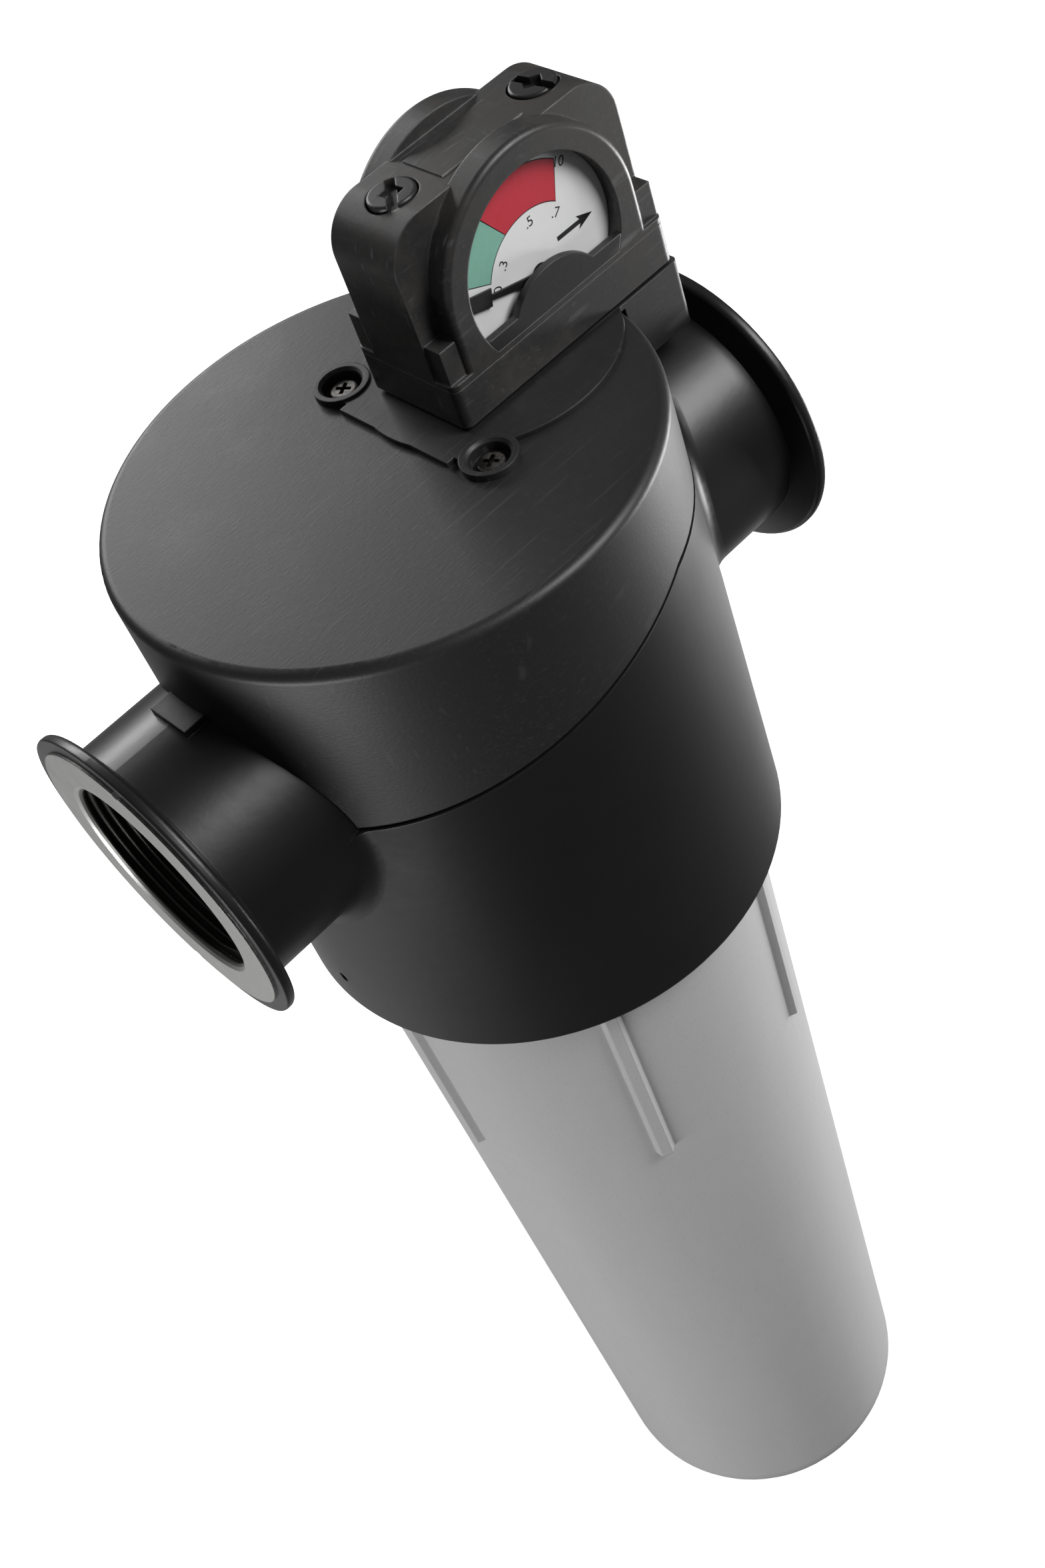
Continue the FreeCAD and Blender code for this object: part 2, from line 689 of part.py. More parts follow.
def make_gauge_base():
    half = PLATE_CORNER_HALF
    solids = [cyl(PLATE_R, CAP_TOP_Z, PLATE_TOP_Z, PLATE_CENTRE_X, 0)]
    solids.append(block(PLATE_LEFT_X, PLATE_CENTRE_X, -half, half, CAP_TOP_Z, PLATE_TOP_Z))
    solids += [plate_bridge(), plate_neck()]
    tools = []
    for x, y in plate_screw_places():
        solids.append(cyl(EAR_R, CAP_TOP_Z, PLATE_TOP_Z + EAR_BOSS_RISE, x, y))
        solids.append(cyl(COUNTERBORE_R + PLATE_CUP_WALL, CORE_TOP_Z, PLATE_TOP_Z, x, y))
        tools.append(cyl(COUNTERBORE_R, plate_cup_floor_z(), PLATE_TOP_Z + 2, x, y))
        tools.append(cyl(PLATE_SCREW_R + SCREW_GAP, CORE_TOP_Z - 1, PLATE_TOP_Z, x, y))
        mouth_r = COUNTERBORE_R + 2 * EAR_BOSS_RISE
        mouth_low = at(x, y, PLATE_TOP_Z - EAR_BOSS_RISE / 2)
        tools.append(Part.makeCone(COUNTERBORE_R, mouth_r, 2 * EAR_BOSS_RISE, mouth_low, Z_AXIS))
    (left_x, left_y), (right_x, right_y) = gauge_screw_places()
    screw_end = CORE_TOP_Z - GAUGE_SCREW_BITE - LOOSE_GAP
    tools.append(cyl(GAUGE_SCREW_R + SCREW_GAP, CAP_TOP_Z - 1, PLATE_TOP_Z + 1, left_x, left_y))
    tools.append(cyl(GAUGE_SCREW_R + SEAT_GAP, screw_end, PLATE_TOP_Z + 1, right_x, right_y))
    tools.append(cyl(SENSE_R + SEAT_GAP, CAP_TOP_Z - 1, PLATE_TOP_Z + 1, INLET_SENSE_X, SENSE_Y))
    tools.append(cyl(SENSE_R + SEAT_GAP, BRIDGE_FOOT_Z - 1, PLATE_TOP_Z + 1, OUTLET_SENSE_X, SENSE_Y))
    return cut_all(fuse_all(solids), tools)


def make_plate_screws():
    seat = plate_cup_floor_z()
    top = seat + PLATE_SCREW_HEAD_HEIGHT
    arm = CROSS_LENGTH / 2
    half = CROSS_WIDTH / 2
    screws = []
    for x, y in plate_screw_places():
        head = cyl(PLATE_SCREW_HEAD_R, seat, top, x, y)
        head = rounded(head, PLATE_SCREW_ROUND, full_circle_above(seat + 1))
        bar = block(x - arm, x + arm, y - half, y + half, top - CROSS_DEPTH, top + 1)
        cross = turned(bar.fuse(turned(bar, 90, x, y)), CROSS_TURN, x, y)
        shank = cyl(PLATE_SCREW_R, seat - PLATE_SCREW_LENGTH, seat, x, y)
        screws.append(head.fuse(shank).cut(cross))
    return Part.makeCompound(screws)


def gauge_foot(low_z, high_z, inset=0.0):
    half_x = GAUGE_HALF_LENGTH - inset
    half_y = GAUGE_HALF_WIDTH - inset
    return block(GAUGE_X - half_x, GAUGE_X + half_x, -half_y, half_y, low_z, high_z)


def gauge_shafts(radius, low_z, high_z):
    return [cyl(radius, low_z, high_z, x, y) for x, y in gauge_screw_places()]


def sense_shafts(radius, low_z, high_z):
    return [cyl(radius, low_z, high_z, x, SENSE_Y) for x in (INLET_SENSE_X, OUTLET_SENSE_X)]


def make_base_gasket():
    sheet = gauge_foot(PLATE_TOP_Z, GAUGE_FLOOR_Z, GASKET_INSET)
    tools = gauge_shafts(GAUGE_SCREW_R + SCREW_GAP, PLATE_TOP_Z - 1, GAUGE_FLOOR_Z + 1)
    tools += sense_shafts(SENSE_BORE_R, PLATE_TOP_Z - 1, GAUGE_FLOOR_Z + 1)
    return cut_all(sheet, tools)


def make_gauge_lower_body():
    body = gauge_foot(GAUGE_FLOOR_Z, PARTING_Z)
    body = rounded(body, CORNER_ROUND, lambda e: e.BoundBox.ZLength > 5)
    tools = gauge_shafts(GAUGE_SCREW_R + SCREW_GAP, GAUGE_FLOOR_Z - 1, PARTING_Z + 1)
    tools.append(cyl(PISTON_BORE_R, PISTON_FLOOR_Z, PARTING_Z + 1, GAUGE_X, 0))
    duct_z = PISTON_FLOOR_Z + PISTON_FOOT / 2
    tools.append(cyl(SENSE_DUCT_R, GAUGE_FLOOR_Z - 1, duct_z, INLET_SENSE_X, SENSE_Y))
    tools.append(bar_x(SENSE_DUCT_R, INLET_SENSE_X, GAUGE_X, SENSE_Y, duct_z))
    tools.append(cyl(SENSE_DUCT_R, GAUGE_FLOOR_Z - 1, PARTING_Z + 1, OUTLET_SENSE_X, SENSE_Y))
    tools.append(chamber_ring(CHAMBER_SEAL_R + SEAT_GAP))
    for tool in tools:
        body = body.cut(tool)
    return body


def window_recess(from_y, to_y, radius=WINDOW_R):
    """The round dial opening, cut level just above the parting line, on the front side."""
    floor_z = PARTING_Z + 2 * PARTING_LIP
    disc = bar_y(radius, from_y, to_y, GAUGE_X, DIAL_Z)
    keep = block(GAUGE_X - BEZEL_R, GAUGE_X + BEZEL_R, from_y - 1, to_y + 1, floor_z, GAUGE_TOP_Z + 5)
    return disc.common(keep)


def dial_face_y():
    return -GAUGE_HALF_WIDTH + WINDOW_DEPTH


def gauge_front_hump():
    """The arched bezel and the blocks beside it, on the front side."""
    face = -GAUGE_HALF_WIDTH
    back = -CORE_HALF_WIDTH + 1
    arch = bar_y(BEZEL_R, face, back, GAUGE_X, DIAL_Z)
    arch = arch.cut(block(GAUGE_X - 2 * BEZEL_R, GAUGE_X + 2 * BEZEL_R, face - 1, back + 1, 0, DIAL_Z))
    legs = block(GAUGE_X - BEZEL_R, GAUGE_X + BEZEL_R, face, back, PARTING_Z, DIAL_Z)
    hump = arch.fuse(legs).removeSplitter()

    def front_rim(edge):
        box = edge.BoundBox
        return box.YMax < face + 0.01 and box.ZMax > DIAL_Z - 5 and box.ZMin > PARTING_Z - 0.1
    hump = rounded(hump, BEZEL_ROUND, front_rim)
    feet = []
    for side in (-1, 1):
        outer = GAUGE_X + side * (GAUGE_HALF_LENGTH - FOOT_BLOCK_INSET)
        inner = outer - side * FOOT_BLOCK_LENGTH
        low, high = sorted((outer, inner))
        front = face + FOOT_BLOCK_SET_BACK
        feet.append(block(low, high, front, back, PARTING_Z, PARTING_Z + FOOT_BLOCK_HEIGHT))
    return [hump] + feet


def make_gauge_upper_body():
    low_x = GAUGE_X - GAUGE_HALF_LENGTH
    high_x = GAUGE_X + GAUGE_HALF_LENGTH
    core = block(low_x, high_x, -CORE_HALF_WIDTH, CORE_HALF_WIDTH, PARTING_Z, GAUGE_TOP_Z)

    def top_end(edge):
        box = edge.BoundBox
        return box.ZMin > GAUGE_TOP_Z - 0.1 and box.XLength < 0.1
    core = rounded(core, GAUGE_SHOULDER, top_end)
    skirt = gauge_foot(PARTING_Z, PARTING_Z + 2 * PARTING_LIP)
    skirt = rounded(skirt, CORNER_ROUND, lambda e: e.BoundBox.ZLength > PARTING_LIP)
    half = PANEL_HALF_LENGTH
    panel = block(GAUGE_X - half, GAUGE_X + half, -PANEL_HALF_WIDTH, PANEL_HALF_WIDTH,
                  GAUGE_TOP_Z - 1, GAUGE_TOP_Z + PANEL_RISE)
    front = gauge_front_hump()
    rear = [on_rear(shape) for shape in front]
    body = fuse_all([core, skirt, panel] + front + rear)
    dial_back = dial_face_y() + DIAL_THICK
    recess = window_recess(-GAUGE_HALF_WIDTH - 1, dial_back)
    pocket = bar_y(FOLLOWER_POCKET_R, dial_back - 1, dial_back + FOLLOWER_THICK + 1, GAUGE_X, PIVOT_Z)
    pin_hole = bar_y(PIVOT_R, dial_back, -PISTON_BORE_R - 1, GAUGE_X, PIVOT_Z)
    tools = [recess, pocket, pin_hole]
    tools += [on_rear(tool) for tool in tools]
    tools += gauge_shafts(GAUGE_SCREW_R + SCREW_GAP, PARTING_Z - 1, GAUGE_TOP_Z + 1)
    tools += gauge_shafts(GAUGE_SCREW_RECESS_R, GAUGE_TOP_Z - GAUGE_SCREW_RECESS, GAUGE_TOP_Z + 5)
    tools.append(cyl(PISTON_BORE_R, PARTING_Z - 1, CHAMBER_TOP, GAUGE_X, 0))
    duct_z = CHAMBER_TOP - 2 * SENSE_DUCT_R
    tools.append(cyl(SENSE_DUCT_R, PARTING_Z - 1, duct_z, OUTLET_SENSE_X, SENSE_Y))
    tools.append(bar_x(SENSE_DUCT_R, GAUGE_X, OUTLET_SENSE_X, SENSE_Y, duct_z))
    tools.append(chamber_ring(CHAMBER_SEAL_R + SEAT_GAP))
    for tool in tools:
        body = body.cut(tool)
    return body


def make_front_dial():
    face = dial_face_y()
    disc = window_recess(face, face + DIAL_THICK, WINDOW_R - SEAT_GAP)
    return disc.cut(bar_y(NEEDLE_HUB_R + LOOSE_GAP, face - 1, face + 2, GAUGE_X, PIVOT_Z))


def cover_shape(from_y, to_y):
    low = PARTING_Z + 2 * PARTING_LIP
    plate = block(GAUGE_X - BEZEL_R, GAUGE_X + BEZEL_R, from_y, to_y, low, COVER_TOP_Z)
    hump = bar_y(HUMP_R, from_y, to_y, GAUGE_X, HUMP_Z)
    return plate.fuse(hump).common(window_recess(from_y, to_y, WINDOW_R - SEAT_GAP))


def make_front_cover():
    face = -GAUGE_HALF_WIDTH
    return cover_shape(face, face + COVER_THICK).removeSplitter()


def make_front_window():
    back = -GAUGE_HALF_WIDTH + COVER_THICK
    return window_recess(back, back + WINDOW_THICK, WINDOW_R - SEAT_GAP)


def needle_middle_y():
    return dial_face_y() - LOOSE_GAP - NEEDLE_THICK / 2


def make_front_needle():
    low = needle_middle_y() - NEEDLE_THICK / 2
    high = low + NEEDLE_THICK
    blade = prism_y([(-NEEDLE_TAIL, -NEEDLE_WIDTH), (-NEEDLE_TAIL, NEEDLE_WIDTH),
                     (PADDLE_START, NEEDLE_WIDTH / 2), (PADDLE_START, -NEEDLE_WIDTH / 2)], low, high)
    half = PADDLE_WIDTH / 2
    tip = PADDLE_TIP_WIDTH / 2
    paddle = prism_y([(PADDLE_START, -half), (PADDLE_START, half), (NEEDLE_LENGTH, tip),
                      (NEEDLE_LENGTH, -tip)], low, high)
    hub_back = dial_face_y() + DIAL_THICK + HUB_GAP
    hub = bar_y(NEEDLE_HUB_R, low, hub_back)
    needle = fuse_all([blade, paddle, hub]).cut(bar_y(PIVOT_R + RUN_GAP, low - 1, hub_back + 1))
    needle.rotate(Vec(0, 0, 0), Y_AXIS, -NEEDLE_REST_ANGLE)
    needle.translate(at(GAUGE_X, 0, PIVOT_Z))
    return needle


def make_front_follower():
    start = dial_face_y() + DIAL_THICK + HUB_GAP
    disc = bar_y(FOLLOWER_R, start, start + FOLLOWER_THICK, GAUGE_X, PIVOT_Z)
    return disc.cut(bar_y(PIVOT_R + RUN_GAP, start - 1, start + FOLLOWER_THICK + 1, GAUGE_X, PIVOT_Z))


def make_front_pivot():
    low = needle_middle_y() - NEEDLE_THICK / 2 - HUB_GAP
    return bar_y(PIVOT_R - PIVOT_FIT, low, -PISTON_BORE_R - PIVOT_BITE, GAUGE_X, PIVOT_Z)


def cut_box(x, y, half_x, half_y, top):
    """A box as deep as a gauge screw's slot, to be cut into the head."""
    return block(x - half_x, x + half_x, y - half_y, y + half_y, top - SLOT_DEPTH, top + 1)


def make_gauge_screws():
    screws = []
    seat = GAUGE_TOP_Z - GAUGE_SCREW_RECESS
    top = seat + GAUGE_SCREW_HEAD_HEIGHT
    for x, y in gauge_screw_places():
        head = cyl(GAUGE_SCREW_HEAD_R, seat, top, x, y)
        head = rounded(head, GAUGE_SCREW_ROUND, full_circle_above(top - 0.1))
        shank = cyl(GAUGE_SCREW_R, CORE_TOP_Z - GAUGE_SCREW_BITE, seat, x, y)
        slot = cut_box(x, y, SLOT_WIDTH / 2, 2 * GAUGE_SCREW_HEAD_R, top)
        diamond = turned(cut_box(x, y, DIAMOND_HALF, DIAMOND_HALF, top), 45, x, y)
        tool = turned(slot.fuse(diamond), SLOT_TURNS[len(screws)], x, y)
        screws.append(head.fuse(shank).cut(tool))
    return Part.makeCompound(screws)


def piston_low():
    return PISTON_FLOOR_Z + PISTON_FOOT


def make_gauge_piston():
    low = piston_low()
    top = low + PISTON_HEIGHT
    body = cyl(PISTON_BORE_R - RUN_GAP, low, top, GAUGE_X, 0)
    foot = cyl(PISTON_CUP_R / 2, PISTON_FLOOR_Z + SEAT_GAP, low, GAUGE_X, 0)
    cup = ring(PISTON_CUP_R, BAR_MAGNET_R + 1, top - PISTON_CUP_DEPTH, top + 1, GAUGE_X, 0)
    hole = cyl(BAR_MAGNET_R + SEAT_GAP, top - BAR_MAGNET_LENGTH, top + 1, GAUGE_X, 0)
    return fuse_all([body, foot]).cut(cup).cut(hole)


def make_gauge_magnet():
    top = piston_low() + PISTON_HEIGHT
    return cyl(BAR_MAGNET_R, top - BAR_MAGNET_LENGTH, top, GAUGE_X, 0)


def make_gauge_spring():
    low = piston_low() + PISTON_HEIGHT - PISTON_CUP_DEPTH
    inner = SPRING_COIL_R - SPRING_WIRE_R
    return ring(SPRING_COIL_R + SPRING_WIRE_R, inner, low, CHAMBER_TOP - SPRING_GAP, GAUGE_X, 0)


def chamber_ring(wire_r):
    """The ring between the two halves of the gauge, round the piston's bore."""
    middle_r = PISTON_BORE_R + CHAMBER_SEAL_LAND + CHAMBER_SEAL_R
    return torus_z(middle_r, wire_r, PARTING_Z, GAUGE_X, 0)


def make_chamber_seal():
    return chamber_ring(CHAMBER_SEAL_R)


def sense_ring(x, low_z, wire_r):
    return torus_z(SENSE_R - SENSE_RING_R, wire_r, low_z + SENSE_SOCKET / 2, x, SENSE_Y)


def sense_tube(x, low_z):
    tube = ring(SENSE_R, SENSE_BORE_R, low_z + SEAT_GAP, PLATE_TOP_Z, x, SENSE_Y)
    return tube.cut(sense_ring(x, low_z, SENSE_RING_R + GROOVE_GAP))


def inlet_socket_z():
    return CORE_TOP_Z - SENSE_SOCKET


def outlet_socket_z():
    return TUBE_R - SENSE_SOCKET


def make_inlet_sense_tube():
    return sense_tube(INLET_SENSE_X, inlet_socket_z())


def make_outlet_sense_tube():
    return sense_tube(OUTLET_SENSE_X, outlet_socket_z())


def make_sense_orings():
    inlet = sense_ring(INLET_SENSE_X, inlet_socket_z(), SENSE_RING_R)
    outlet = sense_ring(OUTLET_SENSE_X, outlet_socket_z(), SENSE_RING_R)
    return Part.makeCompound([inlet, outlet])


# Filter element

def make_spigot_oring():
    return spigot_groove(O_RING_R)


def element_cap_skirt(face_z, up):
    """Skirt of an end cap, reaching up or down from its plate."""
    low, high = (face_z, face_z + END_CAP_DEPTH) if up else (face_z - END_CAP_DEPTH, face_z)
    return ring(ELEMENT_CAP_R, OUTER_CORE_R + CORE_WALL + FOAM_WALL + 2 * SEAT_GAP, low, high)


def make_element_top_cap():
    plate_low = SPIGOT_END_Z - ELEMENT_CAP_WALL
    plate = ring(ELEMENT_CAP_R, SPIGOT_BORE_R, plate_low, SPIGOT_END_Z)
    inner = SPIGOT_R + SPIGOT_SQUEEZE + SEAT_GAP
    collar = ring(inner + COLLAR_WALL, inner, SPIGOT_END_Z, SPIGOT_END_Z + COLLAR_HEIGHT)
    return fuse_all([plate, collar, element_cap_skirt(plate_low, False)])


def element_low():
    return ELEMENT_END_Z + ELEMENT_CAP_WALL


def element_high():
    return SPIGOT_END_Z - ELEMENT_CAP_WALL


def make_element_inner_core():
    return ring(INNER_CORE_R, INNER_CORE_R - CORE_WALL, element_low(), element_high())


def make_filter_media():
    """A pleated sheet folded round the inner core, as one closed zigzag wall."""
    low_r = INNER_CORE_R + PLEAT_GAP
    high_r = OUTER_CORE_R - PLEAT_GAP

    def star(shift):
        points = []
        for i in range(PLEAT_COUNT):
            for radius, part in ((low_r + shift, 0.0), (high_r + shift - PLEAT_SHEET, 0.5)):
                angle = 2 * math.pi * (i + part) / PLEAT_COUNT
                points.append((radius * math.cos(angle), radius * math.sin(angle)))
        return prism_z(points, element_low(), element_high())
    return star(PLEAT_SHEET).cut(star(0.0))


def make_element_outer_core():
    return ring(OUTER_CORE_R + CORE_WALL, OUTER_CORE_R, element_low(), element_high())


def make_foam_sleeve():
    inner = OUTER_CORE_R + CORE_WALL
    return ring(inner + FOAM_WALL, inner, element_low(), element_high())


def make_element_bottom_cap():
    plate = ring(ELEMENT_CAP_R, ROD_R + SCREW_GAP, ELEMENT_END_Z, element_low())
    return plate.fuse(element_cap_skirt(element_low(), True)).removeSplitter()


def nut_low():
    return ELEMENT_END_Z - WASHER_HEIGHT - NUT_HEIGHT


def make_tie_rod():
    return cyl(ROD_R, nut_low() - 1, BRIDGE_WEB_Z + BRIDGE_WEB_HEIGHT)


def make_nut_washer():
    return ring(WASHER_R, ROD_R + SCREW_GAP, ELEMENT_END_Z - WASHER_HEIGHT, ELEMENT_END_Z)


def hexagon(flat_r, low_z, high_z):
    corner = flat_r / math.cos(math.pi / 6)
    turns = [math.radians(60 * i) for i in range(6)]
    return prism_z([(corner * math.cos(turn), corner * math.sin(turn)) for turn in turns], low_z, high_z)


def make_element_nut():
    body = hexagon(NUT_FLAT_R, nut_low(), nut_low() + NUT_HEIGHT)
    return body.cut(cyl(ROD_R + SEAT_GAP, nut_low() - 1, ELEMENT_END_Z))


# Bowl

def bowl_bottom():
    return BOWL_STRAIGHT_END_Z - BOWL_CORNER


def bowl_floor():
    return bowl_bottom() + BOWL_FLOOR_WALL


def arc_edge(centre_r, centre_z, radius):
    """Quarter round in the X-Z plane from level outwards to straight down."""
    turn = math.radians(45)
    start = at(centre_r + radius, 0, centre_z)
    middle = at(centre_r + radius * math.cos(turn), 0, centre_z - radius * math.sin(turn))
    end = at(centre_r, 0, centre_z - radius)
    return start, end, Part.Arc(start, middle, end).toShape()


def bowl_outside(arc_start):
    """The outline of neck, collar and wall, from the mouth down to the bottom's round."""
    collar_end = HEAD_FOOT_Z + LOOSE_GAP
    points = [at(NECK_BORE_R, 0, NECK_TOP_Z), at(NECK_R, 0, NECK_TOP_Z), at(NECK_R, 0, LUG_HIGH_Z)]
    points += [at(COLLAR_R, 0, LUG_HIGH_Z), at(COLLAR_R, 0, collar_end)]
    points += [at(bowl_radius(collar_end), 0, collar_end), arc_start]
    return points


def bowl_inside(arc_start, end_r):
    """The inner outline, from the bottom's round up to the mouth."""
    points = [arc_start, at(end_r - BOWL_WALL, 0, BOWL_STRAIGHT_END_Z + BOWL_WALL)]
    points.append(at(BOWL_R - BOWL_WALL, 0, HEAD_FOOT_Z - BOWL_WALL))
    points += [at(NECK_BORE_R, 0, HEAD_FOOT_Z + BOWL_WALL), at(NECK_BORE_R, 0, NECK_TOP_Z)]
    return points


def lines_through(points):
    return [Part.makeLine(a, b) for a, b in zip(points, points[1:])]


def bowl_lugs():
    return [sector(NECK_R - 1, LUG_R, LUG_LOW_Z, LUG_HIGH_Z, LUG_ANGLE, 360.0 * i / LUG_COUNT)
            for i in range(LUG_COUNT)]


def make_bowl():
    end_r = bowl_radius(BOWL_STRAIGHT_END_Z)
    corner_r = end_r - BOWL_CORNER
    out_start, out_end, out_arc = arc_edge(corner_r, BOWL_STRAIGHT_END_Z, BOWL_CORNER)
    in_start, in_end, in_arc = arc_edge(corner_r, BOWL_STRAIGHT_END_Z, BOWL_CORNER - BOWL_FLOOR_WALL)
    edges = lines_through(bowl_outside(out_start))
    edges.append(out_arc)
    hole = [at(DRAIN_HOLE_R, 0, bowl_bottom()), at(DRAIN_HOLE_R, 0, bowl_floor())]
    edges += lines_through([out_end] + hole + [in_end])
    edges.append(in_arc)
    edges += lines_through(bowl_inside(in_start, end_r))
    wire = Part.Wire(Part.__sortEdges__(edges))
    shell = Part.Face(wire).revolve(Vec(0, 0, 0), Z_AXIS, 360)
    body = shell.multiFuse(bowl_lugs() + make_ribs())
    return body.cut(torus_z(neck_ring_r(), O_RING_R + SEAT_GAP, NECK_RING_Z))


def rib_section(z):
    base_r = bowl_radius(z) - 1
    crest_r = bowl_radius(z) + RIB_HEIGHT
    half = RIB_BASE / 2
    crest = RIB_CREST / 2
    points = [at(base_r, -half, z), at(crest_r, -crest, z), at(crest_r, crest, z), at(base_r, half, z)]
    return Part.makePolygon(points + [points[0]])


def make_ribs():
    top = HEAD_FOOT_Z - RIB_TOP_GAP
    rib = Part.makeLoft([rib_section(RIB_END_Z), rib_section(top)], True, True)
    return around(rib, RIB_COUNT, RIB_FIRST_ANGLE)


def neck_ring_r():
    return SEAL_BORE_R - SEAT_GAP - O_RING_R


def make_bowl_oring():
    return torus_z(neck_ring_r(), O_RING_R, NECK_RING_Z)


# Float drain

def drain_top():
    return bowl_floor() + DRAIN_BASE_HEIGHT


def drain_seal_ring(wire_r):
    ring_r = DRAIN_HOLE_R + DRAIN_SEAL_R + DRAIN_SEAL_LAND
    return torus_z(ring_r, wire_r, bowl_floor() + DRAIN_SEAL_R)


def knob_ring(wire_r):
    ring_r = DRAIN_HOLE_R - SEAT_GAP - KNOB_RING_R + GROOVE_GAP
    return torus_z(ring_r, wire_r, DRAIN_STEM_END_Z + 3 * KNOB_RING_R)


def make_drain_body():
    floor = bowl_floor()
    base = cyl(DRAIN_BASE_R, floor, drain_top())
    stem = cyl(DRAIN_HOLE_R - SEAT_GAP, DRAIN_STEM_END_Z, floor)
    body = base.fuse(stem).removeSplitter()
    tools = [cyl(DRAIN_DUCT_R, DRAIN_STEM_END_Z - 1, drain_top() + 1)]
    tools.append(drain_seal_ring(DRAIN_SEAL_R + GROOVE_GAP))
    tools.append(knob_ring(KNOB_RING_R + GROOVE_GAP))
    return cut_all(body, tools)


def make_drain_seal():
    return drain_seal_ring(DRAIN_SEAL_R)


def make_knob_oring():
    return knob_ring(KNOB_RING_R)


def make_drain_nut():
    low = bowl_bottom() - DRAIN_NUT_HEIGHT
    nut = hexagon(DRAIN_NUT_R, low, bowl_bottom())
    return nut.cut(cyl(DRAIN_HOLE_R, low - 1, bowl_bottom() + 1))


def make_drain_cage():
    floor = bowl_floor()
    room = cyl(CAGE_R - CAGE_WALL, floor - 1, CAGE_TOP_Z - CAGE_WALL)
    shell = cyl(CAGE_R, floor, CAGE_TOP_Z).cut(room)
    half = CAGE_WINDOW_WIDTH / 2
    low = floor + CAGE_WALL
    window = block(CAGE_R - 2 * CAGE_WALL, CAGE_R + 1, -half, half, low, low + CAGE_WINDOW_HEIGHT)
    vent = cyl(half, CAGE_TOP_Z - 2 * CAGE_WALL, CAGE_TOP_Z + 1, CAGE_R / 2)
    guide = cyl(FLOAT_STEM_R + RUN_GAP, CAGE_TOP_Z - 2 * CAGE_WALL, CAGE_TOP_Z + 1)
    shell = cut_all(shell, around(window, CAGE_WINDOW_COUNT))
    return cut_all(shell, around(vent, CAGE_WINDOW_COUNT // 2) + [guide])


def make_valve_seat():
    return ring(SEAT_R, DRAIN_DUCT_R, drain_top(), drain_top() + SEAT_HEIGHT)


def tip_low():
    return drain_top() + SEAT_HEIGHT + RUN_GAP


def make_valve_tip():
    return cyl(SEAT_R - 1, tip_low(), tip_low() + TIP_HEIGHT)


def make_float_stem():
    return cyl(FLOAT_STEM_R, tip_low() + TIP_HEIGHT, CAGE_TOP_Z + FLOAT_STEM_OVER)


def make_float():
    low = tip_low() + TIP_HEIGHT
    body = cyl(FLOAT_R, low, low + FLOAT_HEIGHT)
    body = rounded(body, FLOAT_ROUND, level_circle)
    return body.cut(cyl(FLOAT_STEM_R + SEAT_GAP, low - 1, low + FLOAT_HEIGHT + 1))


def make_drain_knob():
    high = DRAIN_STEM_END_Z + KNOB_HEIGHT / 2
    low = high - KNOB_HEIGHT
    floor = DRAIN_STEM_END_Z - 1
    cup = cyl(KNOB_R, low, high)
    cup = rounded(cup, KNOB_ROUND, level_circle)
    flute = cyl(KNOB_FLUTE_R, low - 1, high + 1, KNOB_R + KNOB_FLUTE_R / 3)
    cup = cut_all(cup, around(flute, KNOB_FLUTES))
    cup = cup.cut(cyl(DRAIN_HOLE_R - SEAT_GAP + RUN_GAP, floor, high + 1))
    pieces = [cup, cyl(BARB_STEM_R, low - BARB_LENGTH, low + 0.5)]
    step = BARB_LENGTH / BARB_RINGS
    for i in range(BARB_RINGS):
        top = low - step * i
        pieces.append(Part.makeCone(BARB_TIP_R, BARB_R, step, at(0, 0, top - step), Z_AXIS))
    return fuse_all(pieces).cut(cyl(DRAIN_DUCT_R, low - BARB_LENGTH - 1, floor + 1))


MAKERS = {
    "head_body": make_head_body,
    "flow_elbow": make_flow_elbow,
    "top_cap": make_top_cap,
    "gauge_base": make_gauge_base,
    "plate_screws": make_plate_screws,
    "base_gasket": make_base_gasket,
    "gauge_lower_body": make_gauge_lower_body,
    "gauge_upper_body": make_gauge_upper_body,
    "chamber_seal": make_chamber_seal,
    "front_dial": make_front_dial,
    "rear_dial": lambda: on_rear(make_front_dial()),
    "front_cover": make_front_cover,
    "rear_cover": lambda: on_rear(make_front_cover()),
    "front_window": make_front_window,
    "rear_window": lambda: on_rear(make_front_window()),
    "front_needle": make_front_needle,
    "rear_needle": lambda: on_rear(make_front_needle()),
    "front_follower": make_front_follower,
    "rear_follower": lambda: on_rear(make_front_follower()),
    "front_pivot": make_front_pivot,
    "rear_pivot": lambda: on_rear(make_front_pivot()),
    "gauge_screws": make_gauge_screws,
    "gauge_piston": make_gauge_piston,
    "gauge_magnet": make_gauge_magnet,
    "gauge_spring": make_gauge_spring,
    "inlet_sense_tube": make_inlet_sense_tube,
    "outlet_sense_tube": make_outlet_sense_tube,
    "sense_orings": make_sense_orings,
    "spigot_oring": make_spigot_oring,
    "element_top_cap": make_element_top_cap,
    "element_inner_core": make_element_inner_core,
    "filter_media": make_filter_media,
    "element_outer_core": make_element_outer_core,
    "foam_sleeve": make_foam_sleeve,
    "element_bottom_cap": make_element_bottom_cap,
    "tie_rod": make_tie_rod,
    "nut_washer": make_nut_washer,
    "element_nut": make_element_nut,
    "bowl": make_bowl,
    "bowl_oring": make_bowl_oring,
    "drain_body": make_drain_body,
    "drain_seal": make_drain_seal,
    "knob_oring": make_knob_oring,
    "drain_nut": make_drain_nut,
    "drain_cage": make_drain_cage,
    "valve_seat": make_valve_seat,
    "valve_tip": make_valve_tip,
    "float": make_float,
    "float_stem": make_float_stem,
    "drain_knob": make_drain_knob,
}


